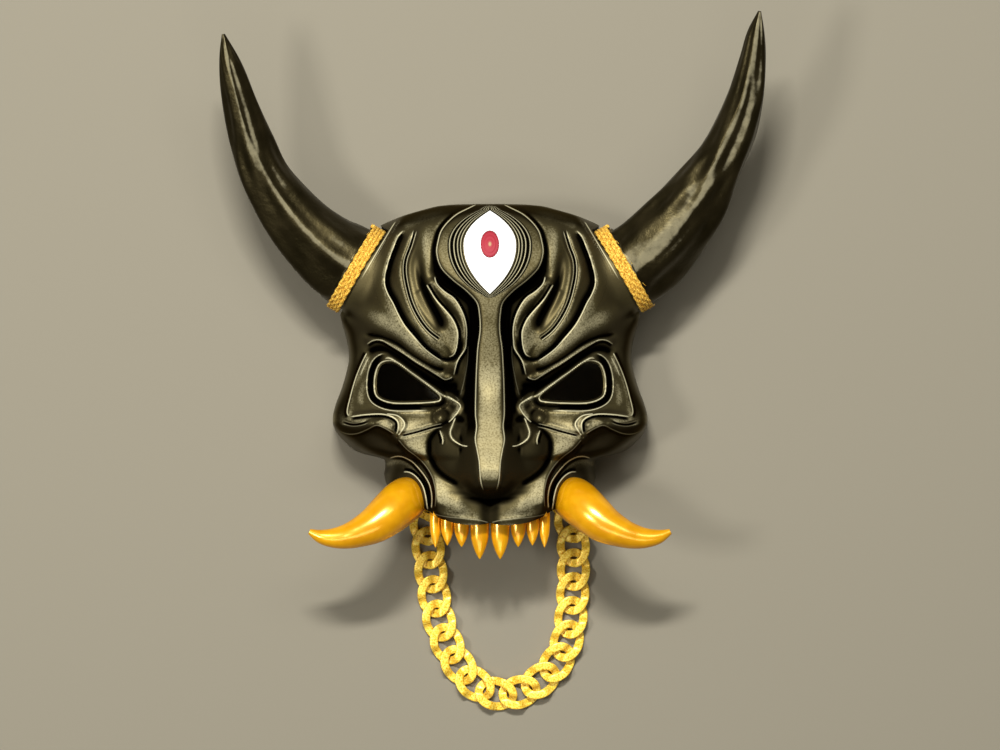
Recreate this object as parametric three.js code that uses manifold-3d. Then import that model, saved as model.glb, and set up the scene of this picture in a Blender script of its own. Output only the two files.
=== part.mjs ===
// Horned demon half mask with gold tusks, fangs, a third eye and a hanging chain. It lies on its back.
// Millimetres. +X is the viewer's right, +Y runs up the face towards the horns, +Z out of the face.
import * as THREE from "three";
import { mergeVertices } from "three/addons/utils/BufferGeometryUtils.js";
import Module from "manifold-3d";

const wasm = await Module();
wasm.setup();

// Driving dimensions
const WALL = 4;
const FIT_GAP = 0.3;
const SMOOTH_GAP = 0.25;
const EDGE_POWER = 4.5;
const CROWN_Y = 107.2;
const CROWN_START = 40;
const LIP_END = -75;
const CHIN = { y: -36, slope: 2.2 };
const COLLAR = { x: 70, y: 70, z: 38, angle: 30, radius: 23, depth: 20, cut: 4.7 };
const TWINE = { strand: 2.4, turns: 4, start: -0.3 };
const LINK = { across: 6.5, along: 9.65, band: 4.5, thick: 2, lean: 2, turn: 3.6 };
const LUG = { x: 34, y: -42.8, hole: 48.4, width: 12, thick: 3 };

// Half width of the outline, height of the centre line and fall to the side, by position up the face
const HALF_WIDTH = [[-75, 30], [-66, 36], [-60, 46], [-54, 55.5], [-49, 58], [-42, 58.7], [-33.2, 58.8], [-31.6, 63.5],
  [-30.2, 70], [-28, 75.2], [-24.5, 79.6], [-18.2, 85], [-12.1, 87.2], [-4, 86], [6.6, 82.2], [16, 79.5],
  [23.7, 78.2], [33, 79.5], [42.9, 82], [55, 83], [70, 79], [82, 71.5], [95.2, 61.6], [101.2, 50.1], [106.2, 33.6], [107.2, 28]];
const CENTRE = [[-75, 68], [-60, 72], [-45, 71], [-30, 69], [-12, 68], [5, 68], [20, 72], [40, 77], [60, 79], [80, 77],
  [95, 72], [107.2, 64]];
const SIDE_DROP = [[-75, 22], [-60, 26], [-45, 34], [-33, 40], [-24, 34], [-14, 20], [0, 20], [20, 24], [40, 28],
  [60, 32], [80, 30], [107.2, 14]];
// The raised strip that runs from the third eye down the nose: its half width, height and side slope
const STRIP = [[-52, 3], [-49.5, 4], [-44, 5.4], [-31.9, 5.9], [-26, 7.2], [-22, 8], [-7.7, 7.8], [5, 7.7], [16.5, 7.3],
  [28.1, 6.6], [38.5, 5.3], [47.3, 5.7], [53.4, 7.2], [59.5, 12.7], [65.7, 20.4], [72.1, 26.4], [79.8, 28.9],
  [85.8, 28.4], [93.5, 25.9], [101.2, 18.7], [105.8, 10.5], [107.2, 8]];
const NOSE = [[-75, 0], [-54, 0], [-51.5, 6], [-49, 16], [-45, 24.5], [-38, 27], [-25, 24], [-10, 18.5], [5, 12.5],
  [18, 7.5], [32, 4], [50, 2.5], [107.2, 2]];
const NOSE_SLOPE = [[-75, 6], [-50, 9], [-38, 12], [-22, 9], [-8, 6.5], [5, 5.5], [20, 4.2], [40, 3.4], [107.2, 3]];
// The outline of the two wings of the nose
const NOSE_WINGS = [[0, -54], [6, -52.6], [15.8, -45.2], [22.7, -41.3], [27.5, -37.3], [31, -31.8], [32, -25],
  [31, -19.5], [27, -14.6], [20, -12], [10, -13], [0, -14]];
const WINGS = { height: 11, reach: 14 };
const EYE_HOLE = [[28.3, 1.6], [30.8, 0.3], [40.3, -0.3], [52.3, -0.3], [59.4, 1.7], [61.9, 5.1], [61.8, 13],
  [59.4, 19], [54.6, 20.3], [49.8, 18.4], [42.7, 12.9], [34.3, 6.7]];
// Broad ridges and grooves: a curve, its height, and its reach on the left and right of the way it runs
const RIDGES = [
  { path: [[78, 48], [55, 40], [40, 29], [24, 16]], height: 6.5, left: 7, right: 14, taper: 20 },
  { path: [[88, -14], [70, -12], [56, -16], [48, -24], [38, -34], [31, -46], [27.5, -64]], height: 7, left: 3.5,
    right: 16, taper: 0 },
  { path: [[31.5, 75.9], [25.3, 60.5], [16.9, 53.4], [12.9, 46.4], [11.7, 38.7], [13.2, 27.1], [19.2, 13.2]],
    height: 1.8, left: 5, right: 2, taper: 6 },
  { path: [[39.6, 84], [33.6, 62.7], [20.9, 44.8], [18, 38], [18.4, 29.4], [22.6, 24]], height: 2.2, left: 5,
    right: 2, taper: 6 },
  { path: [[46.2, 82], [42, 67.1], [35.2, 54.1], [26.6, 38.7]], height: -2.2, left: 2.4, right: 2.4, taper: 12 },
  { path: [[46.8, 94.1], [55.9, 72.6], [56.7, 62.7], [50.6, 47.3], [35.2, 28.6], [22.6, 22]], height: 2.4, left: 6,
    right: 2, taper: 6 },
  { path: [[66, 34], [47.5, 25.9], [39.1, 18.7], [22, 11]], height: 2.6, left: 2, right: 3.4, taper: 6 },
  { path: [[61.6, -38.5], [48.4, -31.9], [35.2, -41.8], [28.6, -63.3]], height: 2, left: 3, right: 2, taper: 4 },
];

function smoothstep(a, b, v) {
  const t = Math.min(1, Math.max(0, (v - a) / (b - a)));
  return t * t * (3 - 2 * t);
}

function bump(v, width) {
  return Math.exp(-((v / width) ** 2));
}

// A smooth curve through the rows of a table
function smooth(table, v) {
  const last = table.length - 1;
  const at = Math.min(table[last][0], Math.max(table[0][0], v));
  let k = 0;
  while (k < last - 1 && table[k + 1][0] <= at) k += 1;
  const slope = (i) => {
    const a = Math.max(0, i - 1);
    const b = Math.min(last, i + 1);
    return (table[b][1] - table[a][1]) / (table[b][0] - table[a][0]);
  };
  const h = table[k + 1][0] - table[k][0];
  const t = (at - table[k][0]) / h;
  const rise = (2 * t ** 3 - 3 * t ** 2 + 1) * table[k][1] + (3 * t ** 2 - 2 * t ** 3) * table[k + 1][1];
  return rise + h * ((t ** 3 - 2 * t ** 2 + t) * slope(k) + (t ** 3 - t ** 2) * slope(k + 1));
}

function curveOf(points, closed = false, steps = 4) {
  const flat = points.map(([x, y]) => new THREE.Vector3(x, y, 0));
  const curve = new THREE.CatmullRomCurve3(flat, closed, "catmullrom", 0.5);
  return curve.getPoints((closed ? points.length : points.length - 1) * steps);
}

for (const ridge of RIDGES) ridge.curve = curveOf(ridge.path);

function ridgeHeight(ridge, x, y) {
  let best = Infinity;
  let side = 1;
  let along = 0;
  let start = 0;
  for (let i = 0; i + 1 < ridge.curve.length; i += 1) {
    const a = ridge.curve[i];
    const dx = ridge.curve[i + 1].x - a.x;
    const dy = ridge.curve[i + 1].y - a.y;
    const length = Math.hypot(dx, dy);
    const t = Math.min(1, Math.max(0, ((x - a.x) * dx + (y - a.y) * dy) / length ** 2));
    const d = Math.hypot(x - a.x - t * dx, y - a.y - t * dy);
    if (d < best) {
      best = d;
      side = dx * (y - a.y) - dy * (x - a.x) < 0 ? -1 : 1;
      along = start + t * length;
    }
    start += length;
  }
  const ends = ridge.taper ? smoothstep(0, ridge.taper, along) * smoothstep(0, ridge.taper, start - along) : 1;
  return ridge.height * ends * bump(best, side > 0 ? ridge.left : ridge.right);
}

const wingLoop = [...curveOf(NOSE_WINGS, false, 2), ...curveOf(NOSE_WINGS.slice(1).map(([x, y]) => [-x, y]).reverse(),
  false, 2)];

// How far a point lies inside a closed loop, or 0 outside it
function depthInside(loop, x, y) {
  let best = Infinity;
  let inside = false;
  loop.forEach((a, i) => {
    const b = loop[(i + 1) % loop.length];
    const dx = b.x - a.x;
    const dy = b.y - a.y;
    const t = Math.min(1, Math.max(0, ((x - a.x) * dx + (y - a.y) * dy) / Math.max(1e-9, dx * dx + dy * dy)));
    best = Math.min(best, Math.hypot(x - a.x - t * dx, y - a.y - t * dy));
    if (a.y > y !== b.y > y && x < (dx * (y - a.y)) / dy + a.x) inside = !inside;
  });
  return inside ? best : 0;
}

// The face as a height over the ground, before its edges turn down
function faceHeight(signedX, y) {
  const x = Math.abs(signedX);
  let z = smooth(CENTRE, y) - smooth(SIDE_DROP, y) * Math.min(1.1, x / smooth(HALF_WIDTH, y)) ** 2.2;
  z -= 9 * bump(Math.hypot((x - 42) / 22, (y - 5) / 11), 1) + 6 * bump(Math.hypot((x - 20) / 9, (y - 2) / 12), 1);
  const lean = smooth(STRIP, y + 0.5) - smooth(STRIP, y - 0.5);
  const inStrip = (smooth(STRIP, y) - x) / Math.hypot(1, lean);
  const nose = smooth(NOSE, y) * (inStrip > 0 ? 1 : bump(inStrip, smooth(NOSE_SLOPE, y)));
  const wing = 1 - Math.min(1, depthInside(wingLoop, x, y) / WINGS.reach);
  const bulge = WINGS.height * Math.sqrt(1 - wing ** 2);
  z += Math.max(nose, bulge) + 0.3 * Math.min(nose, bulge);
  z += 2.4 * smoothstep(-1, 0.6, inStrip) * smoothstep(8, 30, y);
  z -= 3.4 * bump(inStrip + 4.6, 3.6) * smoothstep(-10, 25, y);
  for (const ridge of RIDGES) z += ridgeHeight(ridge, x, y);
  return z;
}

const turn = (COLLAR.angle * Math.PI) / 180;
const outward = new THREE.Vector3(Math.cos(turn), Math.sin(turn), 0);
const acrossHorn = new THREE.Vector3(-Math.sin(turn), Math.cos(turn), 0);

// The swelling that runs up to each horn's collar
function collarSwelling(x, y, z) {
  const dx = Math.abs(x) - COLLAR.x;
  const dy = y - COLLAR.y;
  const s = dx * outward.x + dy * outward.y;
  const v = dx * acrossHorn.x + dy * acrossHorn.y;
  const top = COLLAR.z + COLLAR.depth * Math.sqrt(Math.max(0, 1 - (v / (COLLAR.radius + 1)) ** 2));
  const blend = smoothstep(-26, -3, s) * smoothstep(34, 24, Math.abs(v));
  return z + blend * 4 * Math.log(1 + Math.exp((top - z) / 4));
}

// The face with its sides and crown turned down to the rim
function shellHeight(x, y) {
  const half = y > CROWN_Y ? 0 : smooth(HALF_WIDTH, y);
  if (Math.abs(x) >= half) return 0;
  const side = (1 - (Math.abs(x) / half) ** EDGE_POWER) ** (1 / EDGE_POWER);
  const up = Math.max(0, (y - CROWN_START) / (CROWN_Y - CROWN_START));
  return collarSwelling(x, y, faceHeight(x, y) * side * (1 - up ** 6) ** (1 / 6));
}

// The same surface moved inwards by a ball of the wall's radius
function insideHeight(x, y, wall) {
  let z = shellHeight(x, y) - wall;
  for (const share of [0.5, 0.8, 1]) {
    for (let k = 0; k < 12; k += 1) {
      const r = wall * share;
      const angle = (k * Math.PI) / 6;
      const there = shellHeight(x + r * Math.cos(angle), y + r * Math.sin(angle));
      z = Math.min(z, there - Math.sqrt(Math.max(0, wall ** 2 - r ** 2)));
    }
  }
  return z;
}

function insideWidth(y, wall) {
  let half = Infinity;
  for (let k = -6; k <= 6; k += 1) {
    const d = (wall * k) / 6;
    const there = y + d > CROWN_Y ? 0 : smooth(HALF_WIDTH, y + d);
    half = Math.min(half, there - Math.sqrt(wall ** 2 - d ** 2));
  }
  return half;
}

// Solids
function solidOf(geometry) {
  const plain = new THREE.BufferGeometry();
  const source = geometry.index ? geometry.toNonIndexed() : geometry;
  plain.setAttribute("position", source.getAttribute("position").clone());
  const merged = mergeVertices(plain, 1e-4);
  return new wasm.Manifold(new wasm.Mesh({
    numProp: 3,
    vertProperties: new Float32Array(merged.attributes.position.array),
    triVerts: new Uint32Array(merged.index.array),
  }));
}

function geometryOf(points, faces) {
  const geometry = new THREE.BufferGeometry();
  geometry.setAttribute("position", new THREE.Float32BufferAttribute(points.flatMap((p) => [p.x, p.y, p.z]), 3));
  geometry.setIndex(faces.flat());
  return geometry;
}

// A closed body between an upper and a lower sheet of points with the same rows and columns
function betweenSheets(upper, lower) {
  const rows = upper.length;
  const columns = upper[0].length;
  const points = [...upper.flat(), ...lower.flat()];
  const top = (r, c) => r * columns + c;
  const under = (r, c) => rows * columns + r * columns + c;
  const faces = [];
  for (let r = 0; r + 1 < rows; r += 1) {
    for (let c = 0; c + 1 < columns; c += 1) {
      faces.push([top(r, c), top(r, c + 1), top(r + 1, c + 1)], [top(r, c), top(r + 1, c + 1), top(r + 1, c)]);
      faces.push([under(r, c), under(r + 1, c + 1), under(r, c + 1)]);
      faces.push([under(r, c), under(r + 1, c), under(r + 1, c + 1)]);
    }
  }
  const edge = [];
  for (let c = 0; c + 1 < columns; c += 1) edge.push([0, c]);
  for (let r = 0; r + 1 < rows; r += 1) edge.push([r, columns - 1]);
  for (let c = columns - 1; c > 0; c -= 1) edge.push([rows - 1, c]);
  for (let r = rows - 1; r > 0; r -= 1) edge.push([r, 0]);
  edge.forEach(([r, c], i) => {
    const [r2, c2] = edge[(i + 1) % edge.length];
    faces.push([top(r, c), under(r, c), under(r2, c2)], [top(r, c), under(r2, c2), top(r2, c2)]);
  });
  return geometryOf(points, faces);
}

// Sections swept along a smooth path: each row has a centre, an in-plane radius and a depth radius
function sweep(rows, around, steps, side, shape = () => 1) {
  const path = new THREE.CatmullRomCurve3(rows.map((r) => new THREE.Vector3(r[0], r[1], r[2])), false, "centripetal");
  const count = (rows.length - 1) * steps;
  const points = [];
  const faces = [];
  let across = side.clone();
  for (let i = 0; i <= count; i += 1) {
    const k = Math.min(rows.length - 2, Math.floor(i / steps));
    const part = i / steps - k;
    const centre = path.getPoint(i / count);
    const way = path.getTangent(i / count);
    across = across.clone().addScaledVector(way, -across.dot(way)).normalize();
    const deep = new THREE.Vector3().crossVectors(way, across);
    const ease = part * part * (3 - 2 * part);
    const wide = THREE.MathUtils.lerp(rows[k][3], rows[k + 1][3], steps === 1 ? part : ease);
    const depth = THREE.MathUtils.lerp(rows[k][4], rows[k + 1][4], steps === 1 ? part : ease);
    for (let j = 0; j < around; j += 1) {
      const angle = (2 * Math.PI * j) / around;
      const size = shape(angle, i / count);
      points.push(centre.clone().addScaledVector(across, wide * size * Math.cos(angle))
        .addScaledVector(deep, depth * size * Math.sin(angle)));
    }
  }
  const at = (i, j) => i * around + (j % around);
  for (let i = 0; i < count; i += 1) {
    for (let j = 0; j < around; j += 1) {
      faces.push([at(i, j), at(i, j + 1), at(i + 1, j + 1)], [at(i, j), at(i + 1, j + 1), at(i + 1, j)]);
    }
  }
  for (let j = 1; j + 1 < around; j += 1) {
    faces.push([at(0, 0), at(0, j + 1), at(0, j)], [at(count, 0), at(count, j), at(count, j + 1)]);
  }
  return geometryOf(points, faces);
}

function mirrored(geometry) {
  const copy = geometry.index ? geometry.toNonIndexed() : geometry.clone();
  const p = copy.getAttribute("position");
  for (let i = 0; i < p.count; i += 3) {
    const keep = [p.getX(i + 1), p.getY(i + 1), p.getZ(i + 1)];
    p.setXYZ(i + 1, p.getX(i + 2), p.getY(i + 2), p.getZ(i + 2));
    p.setXYZ(i + 2, keep[0], keep[1], keep[2]);
  }
  for (let i = 0; i < p.count; i += 1) p.setX(i, -p.getX(i));
  return copy;
}

function box(x0, x1, y0, y1, z0, z1) {
  const shape = new THREE.BoxGeometry(x1 - x0, y1 - y0, z1 - z0);
  return shape.translate((x0 + x1) / 2, (y0 + y1) / 2, (z0 + z1) / 2);
}

// The face's rows and columns follow the raised strip, so that its edge stays sharp
function faceSheets(lift) {
  const rows = [LIP_END, -71, -67, -63, -59, -55.5, -53, -51, -49, -46.5, -42, -37.5, -33.2, -31.6, -30.2];
  for (let y = -26.5; y < 90; y += 5) rows.push(y);
  for (const up of [0.8, 0.88, 0.94, 0.975, 0.993, 1]) rows.push(CROWN_START + up * (CROWN_Y - CROWN_START));
  const upper = [];
  const lower = [];
  for (const y of rows) {
    const half = smooth(HALF_WIDTH, y);
    const strip = smooth(STRIP, y);
    const right = [strip * 0.5, strip - 0.9, strip + 0.9];
    for (let k = 1; k <= 8; k += 1) right.push(strip + 0.9 + (0.93 * half - strip - 0.9) * (k / 8) ** 1.15);
    right.push(0.9845 * half, 0.9990 * half, half);
    const all = [...right.map((x) => -x).reverse(), 0, ...right];
    upper.push(all.map((x, i) => {
      const rim = i === 0 || i === all.length - 1;
      const z = rim ? 0 : shellHeight(x * 0.99999, y);
      return new THREE.Vector3(x * (1 + lift / 80), y, Math.max(0, z) + lift);
    }));
    lower.push(all.map((x) => new THREE.Vector3(x * (1 + lift / 80), y, -6)));
  }
  return betweenSheets(upper, lower);
}

function cavitySheets(wall) {
  const rows = [LIP_END - 1];
  for (let y = -68; y < 94; y += 8) rows.push(y);
  rows.push(CROWN_Y - wall - 5, CROWN_Y - wall - 2, CROWN_Y - wall - 0.3);
  const shares = [0, 0.2, 0.4, 0.58, 0.74, 0.87, 0.95, 1];
  const upper = [];
  const lower = [];
  for (const y of rows) {
    const half = insideWidth(Math.max(y, LIP_END + wall), wall);
    const all = [...shares.slice(1).map((q) => -q * half).reverse(), ...shares.map((q) => q * half)];
    upper.push(all.map((x) => new THREE.Vector3(x, y, Math.max(-8, insideHeight(x * 0.9999, y, wall)))));
    lower.push(all.map((x) => new THREE.Vector3(x, y, -12)));
  }
  return betweenSheets(upper, lower);
}

// Half of the horn collar: a stub on the shell, cut square, that the horn stands on
const collarAt = (s) => new THREE.Vector3(COLLAR.x, COLLAR.y, COLLAR.z).addScaledVector(outward, s);

function collarRow(s, grow) {
  const p = collarAt(s);
  return [p.x, p.y, p.z, COLLAR.radius + grow, COLLAR.depth + grow];
}

const stub = sweep([collarRow(-3, 0), collarRow(0, 0), collarRow(COLLAR.cut, 0)], 20, 1, acrossHorn);

// A block set square to the horn's axis, from s0 to s1 along it
function collarBlock(s0, s1, half) {
  const block = box(s0, s1, -half, half, -5, 110);
  block.applyMatrix4(new THREE.Matrix4().makeBasis(outward, acrossHorn, new THREE.Vector3(0, 0, 1)));
  return block.translate(COLLAR.x, COLLAR.y, 0);
}
const floorCut = box(-200, 200, -200, 250, -40, 0);
const chin = new THREE.Shape([[-200, CHIN.y], [-200, -160], [120, -160], [120, CHIN.y - 120 / CHIN.slope], [0, CHIN.y]]
  .map(([z, y]) => new THREE.Vector2(y, z)));
const chinCut = new THREE.ExtrudeGeometry(chin, { depth: 300, bevelEnabled: false });
chinCut.applyMatrix4(new THREE.Matrix4().makeBasis(new THREE.Vector3(0, 1, 0), new THREE.Vector3(0, 0, 1),
  new THREE.Vector3(1, 0, 0)));
chinCut.translate(-150, 0, 0);

const eyeShape = new THREE.Shape(curveOf(EYE_HOLE, true, 2).slice(0, -1).map((p) => new THREE.Vector2(p.x, p.y)));
const eyeCut = new THREE.ExtrudeGeometry(eyeShape, { depth: 140, bevelEnabled: false }).translate(0, 0, -10);

// Third eye: an almond let into the strip, and an oval pupil let into the almond
const ALMOND = { y: 84.4, half: 14.2, up: 19.25, down: 26.5, point: 2.1, deep: 1.2 };
function almondHalf(v, grow) {
  const up = v > 0 ? ALMOND.up : ALMOND.down;
  return (ALMOND.half + grow) * Math.max(0, 1 - (Math.abs(v) / (up + 1.3 * grow)) ** ALMOND.point);
}

function lens(halfAt, y0, y1, rows, columns, topAt, bottomAt) {
  const upper = [];
  const lower = [];
  for (let r = 0; r <= rows; r += 1) {
    const y = y0 + (y1 - y0) * (0.5 - 0.5 * Math.cos((Math.PI * r) / rows));
    const half = Math.max(0.25, halfAt(y));
    const xs = Array.from({ length: columns + 1 }, (_, c) => half * Math.sin((Math.PI * (c / columns - 0.5))));
    upper.push(xs.map((x) => new THREE.Vector3(x, y, topAt(x, y, x / half))));
    lower.push(xs.map((x) => new THREE.Vector3(x, y, bottomAt(x, y))));
  }
  return betweenSheets(upper, lower);
}

const stripTop = (y) => smooth(CENTRE, y) + smooth(NOSE, y) + 2.4 * smoothstep(8, 30, y);
const crownAt = (y) => (1 - Math.max(0, (y - CROWN_START) / (CROWN_Y - CROWN_START)) ** 6) ** (1 / 6);
const ground = (y) => stripTop(y) * crownAt(y);
const almondTop = (x, y, q) => {
  const v = (y - ALMOND.y) / (y > ALMOND.y ? ALMOND.up : ALMOND.down);
  return ground(y) + 0.5 + 2 * Math.max(0, 1 - v ** 2) * Math.sqrt(Math.max(0, 1 - q ** 2 * 0.98));
};
const almondLens = (grow, deep) => lens((y) => almondHalf(y - ALMOND.y, grow), ALMOND.y - ALMOND.down - 1.3 * grow,
  ALMOND.y + ALMOND.up + 1.3 * grow, 14, 6, (x, y, q) => almondTop(x, y, q) + (grow ? 8 : 0), (x, y) => ground(y) - deep);
const PUPIL = { x: 5, y: 7.3, at: 84.9 };
const pupilHalf = (y, grow) => (PUPIL.x + grow) * Math.sqrt(Math.max(0, 1 - ((y - PUPIL.at) / (PUPIL.y + grow)) ** 2));
const pupilLens = (grow, deep) => lens((y) => pupilHalf(y, grow), PUPIL.at - PUPIL.y - grow, PUPIL.at + PUPIL.y + grow,
  6, 4, (x, y, q) => almondTop(0, y, 0) + (grow ? 6 : 0.3 + 0.9 * Math.sqrt(Math.max(0, 1 - q ** 2)) *
  (1 - ((y - PUPIL.at) / PUPIL.y) ** 2)), (x, y) => almondTop(0, y, 0) - deep);

// Two lugs inside the lip carry the ends of the chain
function lug(sign) {
  const tab = box(sign * LUG.x - LUG.width / 2, sign * LUG.x + LUG.width / 2, LUG.y - LUG.thick / 2,
    LUG.y + LUG.thick / 2, LUG.hole - 6.8, 64);
  const hole = new THREE.CylinderGeometry(1, 1, 10, 12).scale(3.3, 1, 3.8);
  hole.translate(sign * LUG.x, LUG.y, LUG.hole);
  return solidOf(tab).subtract(solidOf(hole));
}

const outer = solidOf(faceSheets(0));
const cavity = solidOf(cavitySheets(WALL));
const both = (geometry) => solidOf(geometry).add(solidOf(mirrored(geometry)));
const collarWall = both(collarBlock(-0.6 - WALL, -0.6, 31)).intersect(outer);
const lugs = lug(1).add(lug(-1)).intersect(outer);
let shell = outer.subtract(cavity).add(lugs).add(collarWall);
shell = shell.subtract(both(collarBlock(-0.6, 60, 27.4))).add(both(stub));
shell = shell.subtract(solidOf(eyeCut)).subtract(solidOf(mirrored(eyeCut)));
shell = shell.subtract(solidOf(chinCut)).subtract(solidOf(floorCut));
shell = shell.subtract(solidOf(almondLens(FIT_GAP, ALMOND.deep + FIT_GAP))).simplify(SMOOTH_GAP);
const almond = solidOf(almondLens(0, ALMOND.deep)).subtract(solidOf(pupilLens(FIT_GAP, 0.9 + FIT_GAP))).simplify(SMOOTH_GAP);
const pupil = solidOf(pupilLens(0, 0.9));

// Horns: centre, in-plane radius and depth radius, from the collar to the tip
function horn(rows, sign) {
  const first = collarRow(COLLAR.cut + FIT_GAP, 0);
  const second = collarRow(11, 0);
  const flutes = (angle, t) => 1 + 0.045 * Math.cos(3 * angle + 2.4 + 3 * t) * Math.min(1, 6 * t);
  const body = sweep([first, second, ...rows.map(([x, y, z, r]) => [x, y, z, r, r * 0.87])], 14, 2, acrossHorn, flutes);
  return sign > 0 ? body : mirrored(body);
}

const LEFT_HORN = [[90, 82.5, 41, 20.9], [103, 95, 43.5, 18.2], [114.5, 109.2, 47, 15.8], [123.8, 124.5, 51, 13.5],
  [130.2, 140.8, 55, 11.8], [135.5, 159, 60, 9.8], [139.9, 175.5, 64.5, 7.6], [143.3, 189, 68, 4.6],
  [145.4, 199.6, 70.5, 0.9]];
const RIGHT_HORN = [[91, 85.5, 41, 22], [105, 100.5, 43.5, 19.8], [118, 118, 47.5, 16.4], [127, 133.3, 51.5, 13.3],
  [134.6, 149.3, 56, 12.1], [140.4, 167, 61, 9.9], [143.6, 185.7, 66, 7.4], [145.3, 200, 69.5, 5],
  [147, 212, 72.5, 0.9]];

// Twine: four turns side by side, as one ridged band round each collar
function twineBand() {
  const around = 18;
  const bead = 3;
  const profile = [];
  const end = TWINE.start + TWINE.turns * TWINE.strand;
  profile.push([TWINE.start, 0], [end, 0]);
  for (let turnNo = TWINE.turns - 1; turnNo >= 0; turnNo -= 1) {
    for (let k = 0; k < bead; k += 1) {
      if (k === 0 && turnNo < TWINE.turns - 1) continue;
      const angle = (Math.PI * (k + (k === 0 ? 0.35 : 0))) / bead;
      const s = TWINE.start + TWINE.strand * (turnNo + 0.5 + 0.5 * Math.cos(angle));
      profile.push([s, TWINE.strand * (0.35 + 0.65 * Math.sin(angle))]);
    }
  }
  const points = [];
  const faces = [];
  for (let j = 0; j < around; j += 1) {
    const angle = (2 * Math.PI * j) / around;
    for (const [s, h] of profile) {
      const grow = (COLLAR.radius + 0.75 + h) / COLLAR.radius;
      points.push(collarAt(s).addScaledVector(acrossHorn, COLLAR.radius * grow * Math.cos(angle))
        .add(new THREE.Vector3(0, 0, (COLLAR.depth + 0.75 + h) * Math.sin(angle))));
    }
  }
  const n = profile.length;
  for (let j = 0; j < around; j += 1) {
    for (let k = 0; k < n; k += 1) {
      const a = j * n + k;
      const b = j * n + ((k + 1) % n);
      const c = ((j + 1) % around) * n + ((k + 1) % n);
      const d = ((j + 1) % around) * n + k;
      faces.push([a, b, c], [a, c, d]);
    }
  }
  return geometryOf(points, faces);
}

// Tusks stand on the face at the corners of the mouth and curve out sideways
const TUSK = [[45.5, -54, 40, 11.6], [46.5, -54.6, 49, 12.1], [49.5, -57, 57, 12.3], [55.5, -62.2, 63, 11.6],
  [63, -68, 66.5, 10.2], [72.5, -72.5, 68.5, 8], [80, -74.6, 69, 6.5], [86.5, -75.1, 69.5, 5.2],
  [92.5, -74.2, 70, 3.8], [98.5, -71.6, 70.5, 1.5]];
const tuskBody = sweep(TUSK.map(([x, y, z, r]) => [x, y, z, r, r]), 12, 1, new THREE.Vector3(-0.47, -0.88, 0));
const lifted = solidOf(faceSheets(FIT_GAP + 0.1));

// Upper teeth: one row with its root bar behind the lip
const TEETH = [[5.6, -86.9, 5.2], [15.5, -80.3, 4.3], [23.3, -79.5, 3.7], [29.9, -80.7, 3.1]];
const TEETH_ROOT = -61;
const lipInside = (x) => Math.min(insideHeight(x, -58, WALL), insideHeight(x, -61, WALL),
  insideHeight(x, -64, WALL)) - 1.2;

function tooth([x, tip, half]) {
  const z = lipInside(Math.min(26, Math.abs(x))) - 4.3;
  const length = TEETH_ROOT - tip;
  const rows = [[0, 0.92, 3.6], [0.3, 1, 4], [0.6, 0.88, 3.9], [0.83, 0.52, 2.7], [1, 0.1, 0.6]];
  return sweep(rows.map(([t, w, deep]) => [x, TEETH_ROOT - t * length, z + 1.4 * t * t, w * half, deep]), 6, 1,
    new THREE.Vector3(1, 0, 0));
}

function teethRow() {
  const xs = [-31, -26, -18, -9, 0, 9, 18, 26, 31];
  const ring = (x) => {
    const top = lipInside(Math.min(26, Math.abs(x)));
    return [[-63.5, top - 0.2], [-63.5, top - 7.5], [-57.5, top - 7.5], [-57.5, top - 0.2]]
      .map(([y, z]) => new THREE.Vector3(x, y, z));
  };
  const points = xs.flatMap(ring);
  const faces = [];
  for (let i = 0; i + 1 < xs.length; i += 1) {
    for (let k = 0; k < 4; k += 1) {
      const a = i * 4 + k;
      const b = i * 4 + ((k + 1) % 4);
      faces.push([a, b, b + 4], [a, b + 4, a + 4]);
    }
  }
  const end = (xs.length - 1) * 4;
  faces.push([0, 2, 1], [0, 3, 2], [end, end + 1, end + 2], [end, end + 2, end + 3]);
  let row = solidOf(geometryOf(points, faces));
  for (const [x, tip, half] of TEETH) {
    row = row.add(solidOf(tooth([x, tip, half]))).add(solidOf(tooth([-x, tip, half])));
  }
  const trimmed = row.subtract(outer.subtract(solidOf(cavitySheets(WALL + FIT_GAP + 0.1)))).simplify(SMOOTH_GAP);
  return trimmed.decompose().sort((a, b) => b.volume() - a.volume())[0];
}

// Chain: the centres of its links, from the left lug down to the ground and back up to the right lug
const LINKS = [[-34, -42.8, 39], [-34.2, -42.9, 25.6], [-34.6, -46, 12.9], [-35.1, -55.8, 7.4],
  [-35.6, -69.2, 4.5], [-34.4, -82.3, 3.5], [-32.9, -95.8, 3.25], [-31, -109.3, 3.15], [-28.3, -122.8, 3.15],
  [-23.8, -135.7, 3.15], [-17.4, -147.6, 3.15], [-8.5, -157.8, 3.15], [3.3, -163.4, 3.15], [16.4, -162.4, 3.15],
  [28, -155.9, 3.15], [37.1, -145.9, 3.15], [42.6, -133.9, 3.15], [44.9, -120.9, 3.15], [45.9, -107.6, 3.15],
  [46.3, -94.4, 3.25], [46.2, -81.2, 3.55], [44.8, -68, 4.45], [41, -55.4, 7], [36.75, -46.5, 12.85],
  [34.3, -42.9, 25.6], [34, -42.8, 39]];

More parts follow.
